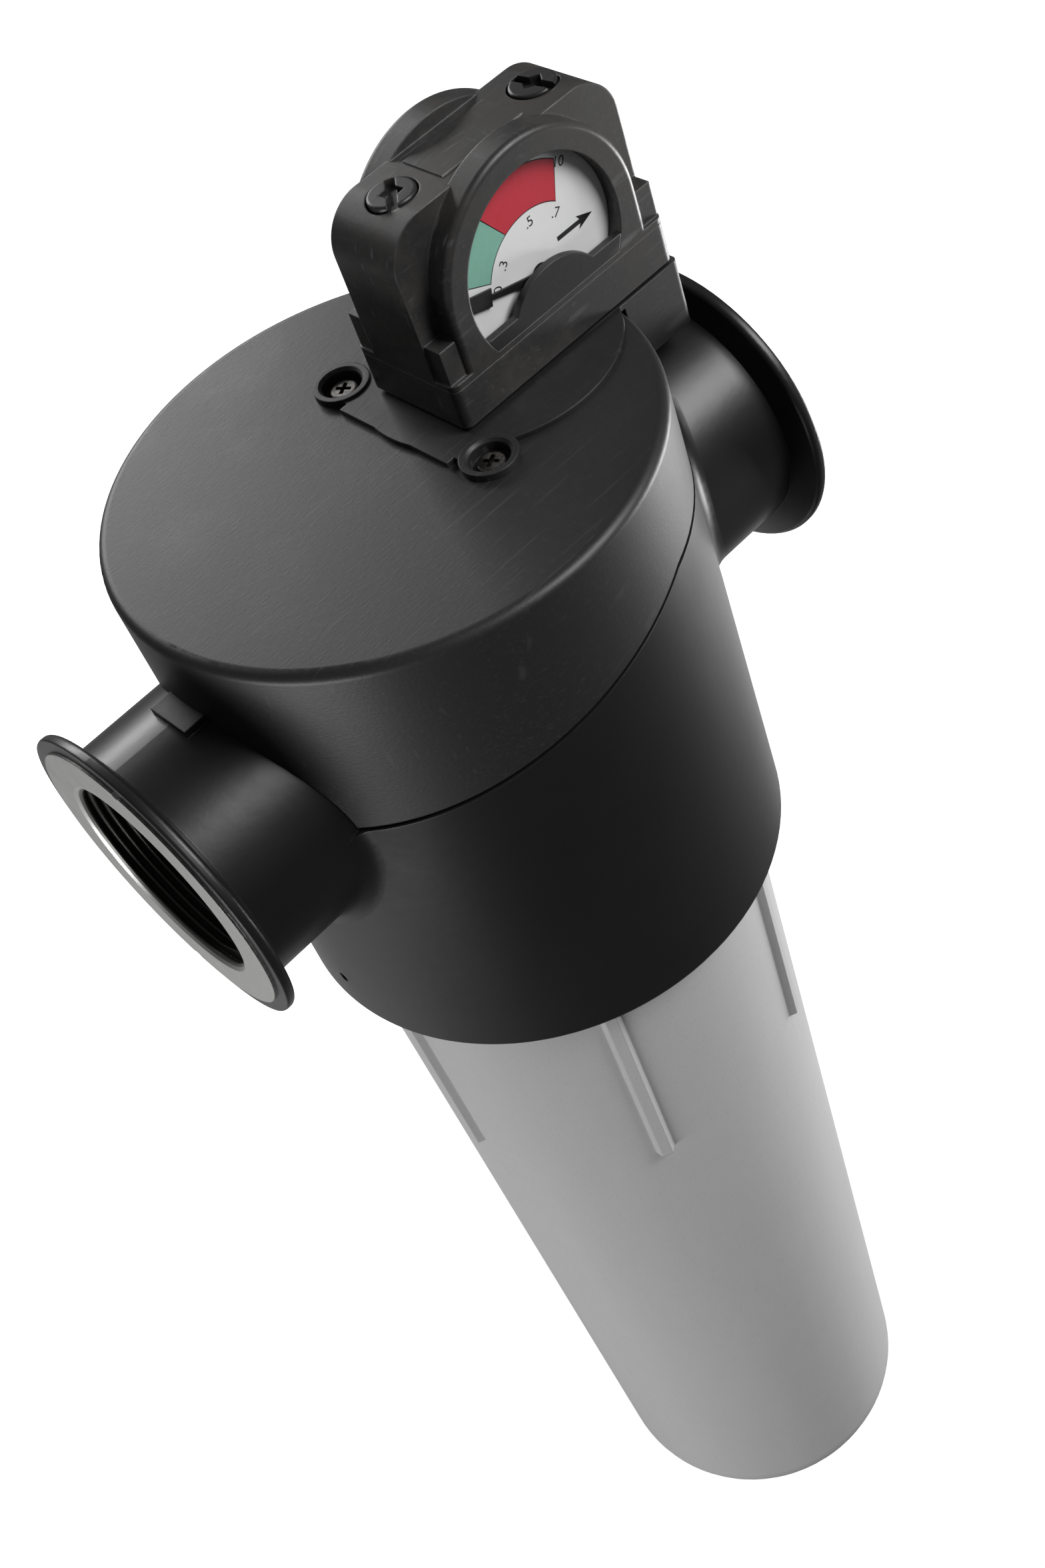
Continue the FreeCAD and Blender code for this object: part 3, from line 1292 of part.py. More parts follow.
def main():
    os.makedirs("parts", exist_ok=True)
    for name, make in MAKERS.items():
        shape = make()
        shape.translate(at(first_crest_x(), 0, 0))
        print(name, "valid" if shape.isValid() else "NOT VALID", len(shape.Solids), round(shape.Volume, 1))
        shape.exportStep(f"parts/{name}.step")


main()
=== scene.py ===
# %% [markdown]
# # A compressed air filter with its looks
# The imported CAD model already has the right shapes: a ported head, a nylon cap, a gauge, a long bowl and
# the drain. The plain materials that come with it are cleared away, so that the finishes below can take the
# slots' own names. This script loads it as a fixed frame, gives every node a finish made of shader nodes,
# adds the dial's print, and sets the floor, the lamps and the camera. Everything is in metres, in the frame
# of the model.

# %% Load the frame
import json
import math
import bpy
from mathutils import Matrix, Quaternion, Vector


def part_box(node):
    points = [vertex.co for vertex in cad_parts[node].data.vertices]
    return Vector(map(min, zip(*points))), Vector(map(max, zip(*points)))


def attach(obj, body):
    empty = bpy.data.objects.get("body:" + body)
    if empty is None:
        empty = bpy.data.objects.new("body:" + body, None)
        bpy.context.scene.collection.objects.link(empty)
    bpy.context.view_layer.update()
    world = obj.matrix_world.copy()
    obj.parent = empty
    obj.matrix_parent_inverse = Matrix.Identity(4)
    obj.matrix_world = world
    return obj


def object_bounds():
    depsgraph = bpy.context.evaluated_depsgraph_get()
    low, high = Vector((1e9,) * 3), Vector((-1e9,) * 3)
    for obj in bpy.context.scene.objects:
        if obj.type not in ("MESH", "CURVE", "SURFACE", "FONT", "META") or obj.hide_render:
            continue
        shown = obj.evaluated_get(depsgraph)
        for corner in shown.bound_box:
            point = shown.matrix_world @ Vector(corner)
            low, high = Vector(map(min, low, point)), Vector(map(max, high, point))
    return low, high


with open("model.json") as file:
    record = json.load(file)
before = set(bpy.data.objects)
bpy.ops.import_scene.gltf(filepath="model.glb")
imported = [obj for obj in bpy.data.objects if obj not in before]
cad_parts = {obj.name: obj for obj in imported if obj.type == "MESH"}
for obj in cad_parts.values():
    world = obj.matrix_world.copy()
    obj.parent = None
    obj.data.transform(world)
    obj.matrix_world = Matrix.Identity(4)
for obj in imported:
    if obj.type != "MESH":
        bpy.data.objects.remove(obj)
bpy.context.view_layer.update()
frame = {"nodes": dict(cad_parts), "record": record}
for plain in list(bpy.data.materials):
    bpy.data.materials.remove(plain)
print("nodes loaded:", len(frame["nodes"]))

# %% [markdown]
# ## Small helpers for shader nodes
# A procedural finish is a chain of nodes. One helper adds a node and fills in its settings, so that a
# finish reads like a list of what happens on the surface. Values between two limits go through Map Range,
# which is easier to tune than a chain of Math nodes.

# %% Node helpers
def add_node(tree, kind, **settings):
    """Adds a node; settings that name an input fill that input, and the others set the node itself."""
    node = tree.nodes.new(kind)
    for key, value in settings.items():
        if hasattr(node, key):
            setattr(node, key, value)
        else:
            node.inputs[key.replace("_", " ")].default_value = value
    return node


def join(tree, source, target):
    tree.links.new(source, target)


def remap(tree, source, low, high, to_low=0.0, to_high=1.0):
    node = add_node(tree, "ShaderNodeMapRange")
    for name, value in (("From Min", low), ("From Max", high), ("To Min", to_low), ("To Max", to_high)):
        node.inputs[name].default_value = value
    join(tree, source, node.inputs["Value"])
    return node.outputs["Result"]


def blend_colours(tree, mask, first, second):
    """Mixes two colours, or outputs, by a mask."""
    node = add_node(tree, "ShaderNodeMix", data_type="RGBA")
    join(tree, mask, node.inputs["Factor"])
    for socket, value in ((node.inputs["A"], first), (node.inputs["B"], second)):
        if isinstance(value, bpy.types.NodeSocket):
            join(tree, value, socket)
        else:
            socket.default_value = (*value, 1.0)
    return node.outputs["Result"]


def sum_of(tree, first, second, operation="ADD"):
    node = add_node(tree, "ShaderNodeMath", operation=operation)
    for socket, value in zip(node.inputs, (first, second)):
        if isinstance(value, bpy.types.NodeSocket):
            join(tree, value, socket)
        else:
            socket.default_value = value
    return node.outputs["Value"]


print("node helpers ready")

# %% [markdown]
# ## Effects that several finishes share
# A worn edge with a painted highlight, fibre in moulded nylon, rub marks and the skin of a casting turn up
# on more than one piece.
# Each is a node group with named inputs, built once. A group only puts out masks and heights: the shader
# stays in the material.

# %% A frame for a group
def start_group(name, inputs, outputs):
    """Makes a shader group with float inputs (name, value) and float outputs."""
    tree = bpy.data.node_groups.new(name, "ShaderNodeTree")
    for label, value in inputs:
        socket = tree.interface.new_socket(name=label, in_out="INPUT", socket_type="NodeSocketFloat")
        socket.default_value = value
    for label in outputs:
        tree.interface.new_socket(name=label, in_out="OUTPUT", socket_type="NodeSocketFloat")
    return tree, tree.nodes.new("NodeGroupInput"), tree.nodes.new("NodeGroupOutput")


def object_noise(tree, scale, detail=4.0, roughness=0.55, stretch=None, shift=0.0):
    """Noise in object space, which stays on the piece. Scale is a socket or a number, in waves per metre."""
    place = add_node(tree, "ShaderNodeTexCoord").outputs["Object"]
    if stretch or shift:
        mapping = add_node(tree, "ShaderNodeMapping")
        mapping.inputs["Scale"].default_value = stretch or (1, 1, 1)
        mapping.inputs["Location"].default_value = (shift, shift, shift)
        join(tree, place, mapping.inputs["Vector"])
        place = mapping.outputs["Vector"]
    noise = add_node(tree, "ShaderNodeTexNoise", Detail=detail, Roughness=roughness)
    join(tree, place, noise.inputs["Vector"])
    if isinstance(scale, bpy.types.NodeSocket):
        join(tree, scale, noise.inputs["Scale"])
    else:
        noise.inputs["Scale"].default_value = scale
    return noise.outputs["Fac"]


print("group helpers ready")

# %% Edge rub and painted highlight
def make_edge_rub_and_highlight():
    """White where a corner is, for rubbed wear and a painted highlight: the rounded normal of a Bevel node
    turns away from the true one there.
    """
    tree, given, out = start_group("edge rub and highlight", [("Radius", 0.0008), ("Break Up", 0.5)], ["Mask"])
    bevel = add_node(tree, "ShaderNodeBevel", samples=4)
    join(tree, given.outputs["Radius"], bevel.inputs["Radius"])
    true_normal = add_node(tree, "ShaderNodeNewGeometry")
    dot = add_node(tree, "ShaderNodeVectorMath", operation="DOT_PRODUCT")
    join(tree, bevel.outputs["Normal"], dot.inputs[0])
    join(tree, true_normal.outputs["Normal"], dot.inputs[1])
    corner = remap(tree, dot.outputs["Value"], 0.995, 0.86)
    patches = remap(tree, object_noise(tree, 240.0, 6.0, 0.65), 0.38, 0.62)
    kept = sum_of(tree, 1.0, sum_of(tree, given.outputs["Break Up"], sum_of(tree, 1.0, patches, "SUBTRACT"),
                                    "MULTIPLY"), "SUBTRACT")
    join(tree, sum_of(tree, corner, kept, "MULTIPLY"), out.inputs["Mask"])
    return tree


edge_rub_and_highlight = make_edge_rub_and_highlight()
print("group:", edge_rub_and_highlight.name)

# %% Fibre in moulded nylon
def make_fibre_fleck():
    """Short bright flecks of glass fibre, lying in two directions, and the fine dents they leave."""
    tree, given, out = start_group("fibre fleck", [("Scale", 900.0), ("Amount", 0.5)], ["Mask", "Height"])
    scale = given.outputs["Scale"]
    along = object_noise(tree, scale, 2.0, 0.4, (1.0, 0.22, 1.0))
    across = object_noise(tree, scale, 2.0, 0.4, (0.22, 1.0, 1.0), 3.1)
    flecks = add_node(tree, "ShaderNodeMath", operation="MAXIMUM")
    join(tree, along, flecks.inputs[0])
    join(tree, across, flecks.inputs[1])
    bright = remap(tree, flecks.outputs["Value"], 0.60, 0.76)
    clouds = remap(tree, object_noise(tree, 45.0, 5.0, 0.6, None, 7.7), 0.35, 0.7)
    amount = sum_of(tree, given.outputs["Amount"], clouds, "MULTIPLY")
    join(tree, sum_of(tree, bright, amount, "MULTIPLY"), out.inputs["Mask"])
    join(tree, flecks.outputs["Value"], out.inputs["Height"])
    return tree


fibre_fleck = make_fibre_fleck()
print("group:", fibre_fleck.name)

# %% Rub marks
def make_rub_marks():
    """Patches where handling has polished or greyed a dull surface, crossed by a few hairline scratches."""
    tree, given, out = start_group("rub marks", [("Size", 30.0), ("Amount", 0.5)], ["Patches", "Scratches"])
    cloud = remap(tree, object_noise(tree, given.outputs["Size"], 8.0, 0.68), 0.46, 0.66)
    join(tree, sum_of(tree, cloud, given.outputs["Amount"], "MULTIPLY"), out.inputs["Patches"])
    lines = None
    for turn, shift in ((0.5, 0.0), (1.9, 5.0)):
        place = add_node(tree, "ShaderNodeTexCoord").outputs["Object"]
        mapping = add_node(tree, "ShaderNodeMapping")
        mapping.inputs["Rotation"].default_value = (turn, turn * 0.7, turn * 1.3)
        mapping.inputs["Scale"].default_value = (26.0, 620.0, 120.0)
        mapping.inputs["Location"].default_value = (shift, shift, shift)
        join(tree, place, mapping.inputs["Vector"])
        noise = add_node(tree, "ShaderNodeTexNoise", Scale=1.0, Detail=1.0)
        join(tree, mapping.outputs["Vector"], noise.inputs["Vector"])
        line = remap(tree, noise.outputs["Fac"], 0.71, 0.76)
        lines = line if lines is None else sum_of(tree, lines, line, "MAXIMUM")
    join(tree, sum_of(tree, lines, given.outputs["Amount"], "MULTIPLY"), out.inputs["Scratches"])
    return tree


rub_marks = make_rub_marks()
print("group:", rub_marks.name)

# %% Casting skin
def make_casting_skin():
    """The soft orange peel of paint over a sand or die casting, with the odd pit."""
    tree, given, out = start_group("casting skin", [("Scale", 320.0), ("Pits", 0.5)], ["Height", "Shade"])
    peel = object_noise(tree, given.outputs["Scale"], 3.0, 0.5)
    place = add_node(tree, "ShaderNodeTexCoord").outputs["Object"]
    cells = add_node(tree, "ShaderNodeTexVoronoi", Scale=210.0)
    join(tree, place, cells.inputs["Vector"])
    pit = remap(tree, cells.outputs["Distance"], 0.11, 0.03)
    sink = sum_of(tree, pit, given.outputs["Pits"], "MULTIPLY")
    join(tree, sum_of(tree, peel, sink, "SUBTRACT"), out.inputs["Height"])
    join(tree, remap(tree, object_noise(tree, 14.0, 5.0, 0.6), 0.3, 0.7), out.inputs["Shade"])
    return tree


casting_skin = make_casting_skin()
print("group:", casting_skin.name)

# %% [markdown]
# ## Starting a finish
# Each material keeps its own Principled BSDF. The surface normal first passes a Bevel node, which lets the
# lamps find a thin highlight on every CAD edge, and then a Bump node for the fine relief.

# %% Material helpers
def start_material(name, roughness=0.5, metallic=0.0, **constants):
    material = bpy.data.materials.new(name)
    material.use_nodes = True
    tree = material.node_tree
    shader = tree.nodes["Principled BSDF"]
    shader.inputs["Roughness"].default_value = roughness
    shader.inputs["Metallic"].default_value = metallic
    for key, value in constants.items():
        shader.inputs[key.replace("_", " ")].default_value = value
    return material, tree, shader


def use_group(tree, group, **values):
    node = tree.nodes.new("ShaderNodeGroup")
    node.node_tree = group
    for key, value in values.items():
        node.inputs[key.replace("_", " ")].default_value = value
    return node


def add_relief(tree, shader, height, depth, strength=1.0, corner=0.0004):
    """Bump over a slightly rounded normal."""
    bump = add_node(tree, "ShaderNodeBump")
    bump.inputs["Strength"].default_value = strength
    bump.inputs["Distance"].default_value = depth
    join(tree, height, bump.inputs["Height"])
    if corner:
        bevel = add_node(tree, "ShaderNodeBevel", samples=4)
        bevel.inputs["Radius"].default_value = corner
        join(tree, bevel.outputs["Normal"], bump.inputs["Normal"])
    join(tree, bump.outputs["Normal"], shader.inputs["Normal"])


print("material helpers ready")

# %% [markdown]
# ## Moulded nylon: cap, gauge and base plate
# These are dull, nearly black and full of short glass fibre, which shows as fine grey flecks. Handling
# leaves greyer patches on the flats. The corners are paler, partly from wear and partly as a painted
# highlight. One function makes all of them, because only the tint, the amount of wear and painted edge
# highlight, and the polish differ.

# %% Nylon
def nylon(name, tint, paler_tint, roughness, fleck, wear_and_highlight, grain):
    material, tree, shader = start_material(name, roughness)
    fibre = use_group(tree, fibre_fleck, Scale=grain, Amount=fleck)
    marks = use_group(tree, rub_marks, Size=34.0, Amount=wear_and_highlight)
    corner = use_group(tree, edge_rub_and_highlight, Radius=0.0009, Break_Up=0.55)
    body = blend_colours(tree, marks.outputs["Patches"], tint, paler_tint)
    flecked = blend_colours(tree, fibre.outputs["Mask"], body, tuple(4.2 * c for c in tint))
    scratched = blend_colours(tree, marks.outputs["Scratches"], flecked, tuple(5.0 * c for c in tint))
    # Paler corners: partly wear, partly a painted highlight.
    worn_and_lit_edge = sum_of(tree, corner.outputs["Mask"], wear_and_highlight, "MULTIPLY")
    finished = blend_colours(tree, worn_and_lit_edge, scratched, tuple(4.0 * c for c in tint))
    join(tree, finished, shader.inputs["Base Color"])
    dull = remap(tree, marks.outputs["Patches"], 0.0, 1.0, roughness, roughness - 0.16)
    join(tree, dull, shader.inputs["Roughness"])
    add_relief(tree, shader, fibre.outputs["Height"], 0.00006, 0.55, 0.0005)
    return material


cap_nylon = nylon("cap_nylon", (0.0165, 0.0165, 0.0168), (0.024, 0.0235, 0.023), 0.47, 0.35, 0.22, 1500.0)
gauge_nylon = nylon("gauge_nylon", (0.0230, 0.0225, 0.0228), (0.060, 0.055, 0.050), 0.44, 0.55, 0.75, 800.0)
base_nylon = nylon("base_nylon", (0.0140, 0.0140, 0.0145), (0.026, 0.025, 0.024), 0.50, 0.30, 0.40, 1100.0)
cover_plastic = nylon("cover_plastic", (0.0120, 0.0120, 0.0125), (0.027, 0.025, 0.023), 0.42, 0.30, 0.55,
                      900.0)
screw_nylon = nylon("screw_nylon", (0.0150, 0.0150, 0.0155), (0.030, 0.028, 0.027), 0.40, 0.25, 0.50, 900.0)
print("nylon finishes:", cap_nylon.name, gauge_nylon.name, base_nylon.name, cover_plastic.name,
      screw_nylon.name)

# %% [markdown]
# ## Painted casting with machined port faces
# The head is one casting: satin black paint, with two rings of bare metal where the port faces are
# machined, and dark, oily thread. The bare ring is picked out in the material by place: it is all that lies
# at the height of the face and between the bore and the face's edge. A mask from the position keeps the
# node whole.

# %% Port measures
port_low, port_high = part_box("head_body")
middle_x = (port_low.x + port_high.x) / 2
reach = (port_high.x - port_low.x) / 2
bore_edge = 0.0298
ring_edge = 0.0402
thread_depth = 0.030
edge_blur = 0.0002
rim_step_low, rim_step_high = 0.00075, 0.00055
print("half length between the port faces:", round(reach, 4))


# %% Masks of the port
def port_masks(tree):
    """Returns how bare the machined ring is, and how far into the threaded bore a point lies."""
    place = add_node(tree, "ShaderNodeSeparateXYZ")
    join(tree, add_node(tree, "ShaderNodeTexCoord").outputs["Object"], place.inputs[0])
    from_middle = sum_of(tree, place.outputs["X"], middle_x, "SUBTRACT")
    out_along = sum_of(tree, from_middle, 0.0, "ABSOLUTE")
    across = sum_of(tree, place.outputs["Y"], 2.0, "POWER")
    squares = sum_of(tree, across, sum_of(tree, place.outputs["Z"], 2.0, "POWER"))
    radius = sum_of(tree, squares, 0.5, "POWER")
    at_face = remap(tree, out_along, reach - rim_step_low, reach - rim_step_high)
    in_ring = remap(tree, radius, ring_edge + edge_blur / 4, ring_edge - 0.75 * edge_blur)
    bare = sum_of(tree, at_face, in_ring, "MULTIPLY")
    inside = remap(tree, radius, bore_edge + 2 * edge_blur, bore_edge - edge_blur)
    deep = remap(tree, out_along, reach - thread_depth - 0.002, reach - thread_depth)
    behind_face = remap(tree, out_along, reach, reach - 0.001)
    thread = sum_of(tree, sum_of(tree, inside, deep, "MULTIPLY"), behind_face, "MULTIPLY")
    return bare, thread, radius


# %% Head finish
TOOL_MARKS = 26000.0


def head_finish():
    material, tree, shader = start_material("head_paint", 0.33)
    skin = use_group(tree, casting_skin, Scale=300.0, Pits=0.25)
    marks = use_group(tree, rub_marks, Size=22.0, Amount=0.30)
    corner = use_group(tree, edge_rub_and_highlight, Radius=0.0007, Break_Up=0.8)
    bare, thread, radius = port_masks(tree)
    paint = blend_colours(tree, skin.outputs["Shade"], (0.0072, 0.0072, 0.0076), (0.0098, 0.0096, 0.0096))
    paint = blend_colours(tree, marks.outputs["Patches"], paint, (0.016, 0.0155, 0.015))
    # Paler edges on the paint: partly wear, partly a painted highlight.
    worn_and_lit = sum_of(tree, corner.outputs["Mask"], 0.35, "MULTIPLY")
    paint = blend_colours(tree, worn_and_lit, paint, (0.06, 0.058, 0.055))
    turning = add_node(tree, "ShaderNodeMath", operation="SINE")
    join(tree, sum_of(tree, radius, TOOL_MARKS, "MULTIPLY"), turning.inputs[0])
    lines = remap(tree, turning.outputs["Value"], -1.0, 1.0)
    cloud = remap(tree, object_noise(tree, 70.0, 6.0, 0.6), 0.3, 0.7)
    silver = blend_colours(tree, lines, (0.50, 0.50, 0.49), (0.66, 0.66, 0.65))
    silver = blend_colours(tree, sum_of(tree, cloud, 0.35, "MULTIPLY"), silver, (0.36, 0.355, 0.34))
    colour = blend_colours(tree, thread, paint, (0.11, 0.108, 0.102))
    join(tree, blend_colours(tree, bare, colour, silver), shader.inputs["Base Color"])
    metal = sum_of(tree, bare, sum_of(tree, thread, 0.8, "MULTIPLY"), "MAXIMUM")
    join(tree, metal, shader.inputs["Metallic"])
    rough_paint = remap(tree, marks.outputs["Patches"], 0.0, 1.0, 0.36, 0.27)
    rough = add_node(tree, "ShaderNodeMix", data_type="FLOAT")
    join(tree, metal, rough.inputs["Factor"])
    join(tree, rough_paint, rough.inputs["A"])
    join(tree, remap(tree, cloud, 0.0, 1.0, 0.34, 0.48), rough.inputs["B"])
    join(tree, rough.outputs["Result"], shader.inputs["Roughness"])
    add_relief(tree, shader, skin.outputs["Height"], 0.00009, 0.35, 0.0005)
    return material


head_paint = head_finish()
print("head finish:", head_paint.name)

# %% [markdown]
# ## Bowl
# The bowl is a drawn metal tube with a pale grey satin coat. Up close the coat is mottled, with thin darker
# runs under the head and tiny specks. Noise stretched along the bowl's length gives the runs, and round
# noise gives the mottling.

# %% Bowl finish
def bowl_finish():
    material, tree, shader = start_material("bowl_paint", 0.42)
    mottle = remap(tree, object_noise(tree, 26.0, 8.0, 0.7), 0.32, 0.7)
    runs = remap(tree, object_noise(tree, 60.0, 5.0, 0.6, (1.0, 1.0, 0.12), 2.0), 0.40, 0.68)
    specks = remap(tree, object_noise(tree, 1300.0, 2.0, 0.5, None, 4.0), 0.60, 0.74)
    corner = use_group(tree, edge_rub_and_highlight, Radius=0.0010, Break_Up=0.6)
    coat = blend_colours(tree, mottle, (0.495, 0.495, 0.497), (0.520, 0.520, 0.522))
    coat = blend_colours(tree, sum_of(tree, runs, 0.12, "MULTIPLY"), coat, (0.40, 0.40, 0.405))
    coat = blend_colours(tree, sum_of(tree, specks, 0.35, "MULTIPLY"), coat, (0.30, 0.30, 0.30))
    # Paler edges on the coat: partly wear, partly a painted highlight.
    worn_and_lit = sum_of(tree, corner.outputs["Mask"], 0.5, "MULTIPLY")
    join(tree, blend_colours(tree, worn_and_lit, coat, (0.68, 0.68, 0.68)), shader.inputs["Base Color"])
    join(tree, remap(tree, mottle, 0.0, 1.0, 0.48, 0.36), shader.inputs["Roughness"])
    skin = use_group(tree, casting_skin, Scale=420.0, Pits=0.0)
    add_relief(tree, shader, skin.outputs["Height"], 0.00004, 0.35, 0.0006)
    return material


bowl_paint = bowl_finish()
print("bowl finish:", bowl_paint.name)

# %% [markdown]
# ## Metal, rubber, card and clear plastic
# The smaller pieces share three recipes: metal with fine turning marks, smooth dark plastic or rubber, and
# soft fibre sheets. Each still has its own noise in colour and roughness, because no real surface is one
# flat tone.

# %% Small metal parts
def metal(name, light, dark, roughness, grain=900.0):
    material, tree, shader = start_material(name, roughness, 1.0)
    streaks = remap(tree, object_noise(tree, grain, 4.0, 0.6, (1.0, 1.0, 0.15)), 0.3, 0.7)
    stain = remap(tree, object_noise(tree, 55.0, 6.0, 0.65, None, 1.3), 0.35, 0.7)
    tone = blend_colours(tree, streaks, dark, light)
    tone = blend_colours(tree, sum_of(tree, stain, 0.3, "MULTIPLY"), tone, dark)
    join(tree, tone, shader.inputs["Base Color"])
    join(tree, remap(tree, stain, 0.0, 1.0, roughness - 0.06, roughness + 0.10), shader.inputs["Roughness"])
    add_relief(tree, shader, streaks, 0.00002, 0.4, 0.0002)
    return material


screw_steel = metal("screw_steel", (0.20, 0.19, 0.18), (0.06, 0.058, 0.055), 0.30)
pivot_steel = metal("pivot_steel", (0.72, 0.72, 0.72), (0.50, 0.50, 0.50), 0.22)
spring_steel = metal("spring_steel", (0.62, 0.62, 0.62), (0.42, 0.42, 0.42), 0.32)
piston_metal = metal("piston_metal", (0.78, 0.78, 0.77), (0.60, 0.60, 0.60), 0.34)
core_steel = metal("core_steel", (0.66, 0.66, 0.65), (0.46, 0.46, 0.45), 0.38)
rod_steel = metal("rod_steel", (0.64, 0.63, 0.60), (0.44, 0.43, 0.40), 0.34)
tube_brass = metal("tube_brass", (0.80, 0.60, 0.29), (0.58, 0.41, 0.18), 0.30)
drain_brass = metal("drain_brass", (0.78, 0.58, 0.28), (0.54, 0.38, 0.17), 0.33)
magnet_ferrite = metal("magnet_ferrite", (0.10, 0.10, 0.11), (0.05, 0.05, 0.055), 0.60)
print("metals:", screw_steel.name, tube_brass.name, magnet_ferrite.name)

# %% Rubber and smooth plastic
def smooth_plastic(name, tint, pale, roughness, grain, wear_and_highlight):
    material, tree, shader = start_material(name, roughness)
    cloud = remap(tree, object_noise(tree, grain, 6.0, 0.6), 0.3, 0.7)
    marks = use_group(tree, rub_marks, Size=60.0, Amount=wear_and_highlight)
    corner = use_group(tree, edge_rub_and_highlight, Radius=0.0005, Break_Up=0.6)
    tone = blend_colours(tree, cloud, tint, pale)
    # Paler edges in a tint above the pale tone: partly wear, partly a painted highlight.
    worn_and_lit = sum_of(tree, corner.outputs["Mask"], wear_and_highlight, "MULTIPLY")
    paler_tint = tuple(min(1.0, 1.5 * c + 0.02) for c in pale)
    join(tree, blend_colours(tree, worn_and_lit, tone, paler_tint), shader.inputs["Base Color"])
    dull = remap(tree, marks.outputs["Patches"], 0.0, 1.0, roughness, roughness + 0.12)
    join(tree, dull, shader.inputs["Roughness"])
    add_relief(tree, shader, cloud, 0.00003, 0.4, 0.0003)
    return material


seal_rubber = smooth_plastic("seal_rubber", (0.008, 0.008, 0.008), (0.014, 0.014, 0.014), 0.52, 500.0, 0.2)
knob_plastic = smooth_plastic("knob_plastic", (0.010, 0.010, 0.011), (0.018, 0.018, 0.019), 0.36, 300.0, 0.4)
cage_plastic = smooth_plastic("cage_plastic", (0.012, 0.012, 0.013), (0.020, 0.020, 0.021), 0.34, 240.0, 0.2)
float_plastic = smooth_plastic("float_plastic", (0.66, 0.66, 0.62), (0.76, 0.76, 0.73), 0.38, 180.0, 0.2)
element_cap_plastic = smooth_plastic("element_cap_plastic", (0.014, 0.014, 0.017), (0.024, 0.024, 0.028),
                                     0.40, 200.0, 0.2)
needle_black = smooth_plastic("needle_black", (0.006, 0.006, 0.006), (0.011, 0.011, 0.011), 0.45, 900.0, 0.1)
dial_card = smooth_plastic("dial_print", (0.80, 0.80, 0.80), (0.86, 0.86, 0.86), 0.42, 120.0, 0.0)
print("plastics:", seal_rubber.name, knob_plastic.name, dial_card.name)

# %% Fibre sheets
def fibre_sheet(name, tint, pale, grain):
    material, tree, shader = start_material(name, 0.9)
    strands = remap(tree, object_noise(tree, grain, 6.0, 0.75), 0.3, 0.7)
    join(tree, blend_colours(tree, strands, tint, pale), shader.inputs["Base Color"])
    join(tree, remap(tree, strands, 0.0, 1.0, 0.82, 0.96), shader.inputs["Roughness"])
    add_relief(tree, shader, strands, 0.0002, 0.7, 0.0)
    return material


media_paper = fibre_sheet("media_paper", (0.70, 0.68, 0.62), (0.84, 0.83, 0.79), 700.0)
foam_cloth = fibre_sheet("foam_cloth", (0.30, 0.34, 0.39), (0.44, 0.48, 0.53), 420.0)
print("fibre sheets:", media_paper.name, foam_cloth.name)

# %% Clear window
def clear_window():
    """A thin clear sheet: seen straight on it lets the dial through, and at a low angle it is a mirror.

    Only its outer side does so. The inner side is left fully clear, or it would act as a mirror from within.
    """
    material, tree, shader = start_material("window_clear", 0.06)
    haze = remap(tree, object_noise(tree, 90.0, 6.0, 0.6), 0.3, 0.7)
    tone = blend_colours(tree, haze, (0.05, 0.052, 0.052), (0.09, 0.092, 0.092))
    join(tree, tone, shader.inputs["Base Color"])
    fresnel = add_node(tree, "ShaderNodeFresnel", IOR=1.45)
    outer_side = add_node(tree, "ShaderNodeNewGeometry").outputs["Backfacing"]
    mirror = remap(tree, fresnel.outputs["Fac"], 0.03, 1.0, 0.02, 0.6)
    clear = sum_of(tree, mirror, sum_of(tree, 1.0, outer_side, "SUBTRACT"), "MULTIPLY")
    join(tree, clear, shader.inputs["Alpha"])
    join(tree, remap(tree, haze, 0.0, 1.0, 0.04, 0.09), shader.inputs["Roughness"])
    return material


window_clear = clear_window()
print("window:", window_clear.name)

# %% [markdown]
# ## Putting the finishes on the model
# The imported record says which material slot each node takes. The finishes above carry the same names, so
# one loop dresses all the nodes and none can be forgotten.

# %% Dress the nodes
finishes = {m.name: m for m in (
    head_paint, cap_nylon, base_nylon, gauge_nylon, cover_plastic, screw_nylon, screw_steel, seal_rubber,
    dial_card, window_clear, needle_black, pivot_steel, magnet_ferrite, spring_steel, piston_metal,
    tube_brass, element_cap_plastic, core_steel, media_paper, foam_cloth, rod_steel, bowl_paint,
    drain_brass, cage_plastic, float_plastic, knob_plastic)}
for part in frame["record"]["subparts"]:
    node = frame["nodes"][part["node"]]
    node.data.materials.clear()
    node.data.materials.append(finishes[part["material_slot"]])

# %% [markdown]
# ## The dial's print
# The print is ink on the card: a green and a red field between two arcs, dark outlines, small figures and
# an arrow for the flow. Each field is drawn as its own thin sheet of faces a few hundredths of a millimetre
# off the card. That keeps its edge sharp at any zoom, which a mask in the material would not. The rear dial
# is the same print turned half round about the gauge's upright line.

# %% Dial measures
card_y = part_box("front_dial")[0].y
piston_low, piston_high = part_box("gauge_piston")
gauge_x = (piston_low.x + piston_high.x) / 2
INK = 0.00003
OUTER_ARC = (-0.0008, 0.0844, 0.0221)
INNER_ARC = (0.0006, 0.0793, 0.0161)
print("card at y", round(card_y, 5), "middle x", round(gauge_x, 5))


# %% Sheets of ink
def ink_material(name, tint):
    """Printing ink: a little uneven, slightly glossier than the card."""
    material, tree, shader = start_material(name, 0.36)
    cover = remap(tree, object_noise(tree, 800.0, 4.0, 0.6), 0.25, 0.75)
    join(tree, blend_colours(tree, cover, tuple(0.92 * c for c in tint), tint), shader.inputs["Base Color"])
    join(tree, remap(tree, cover, 0.0, 1.0, 0.32, 0.42), shader.inputs["Roughness"])
    return material


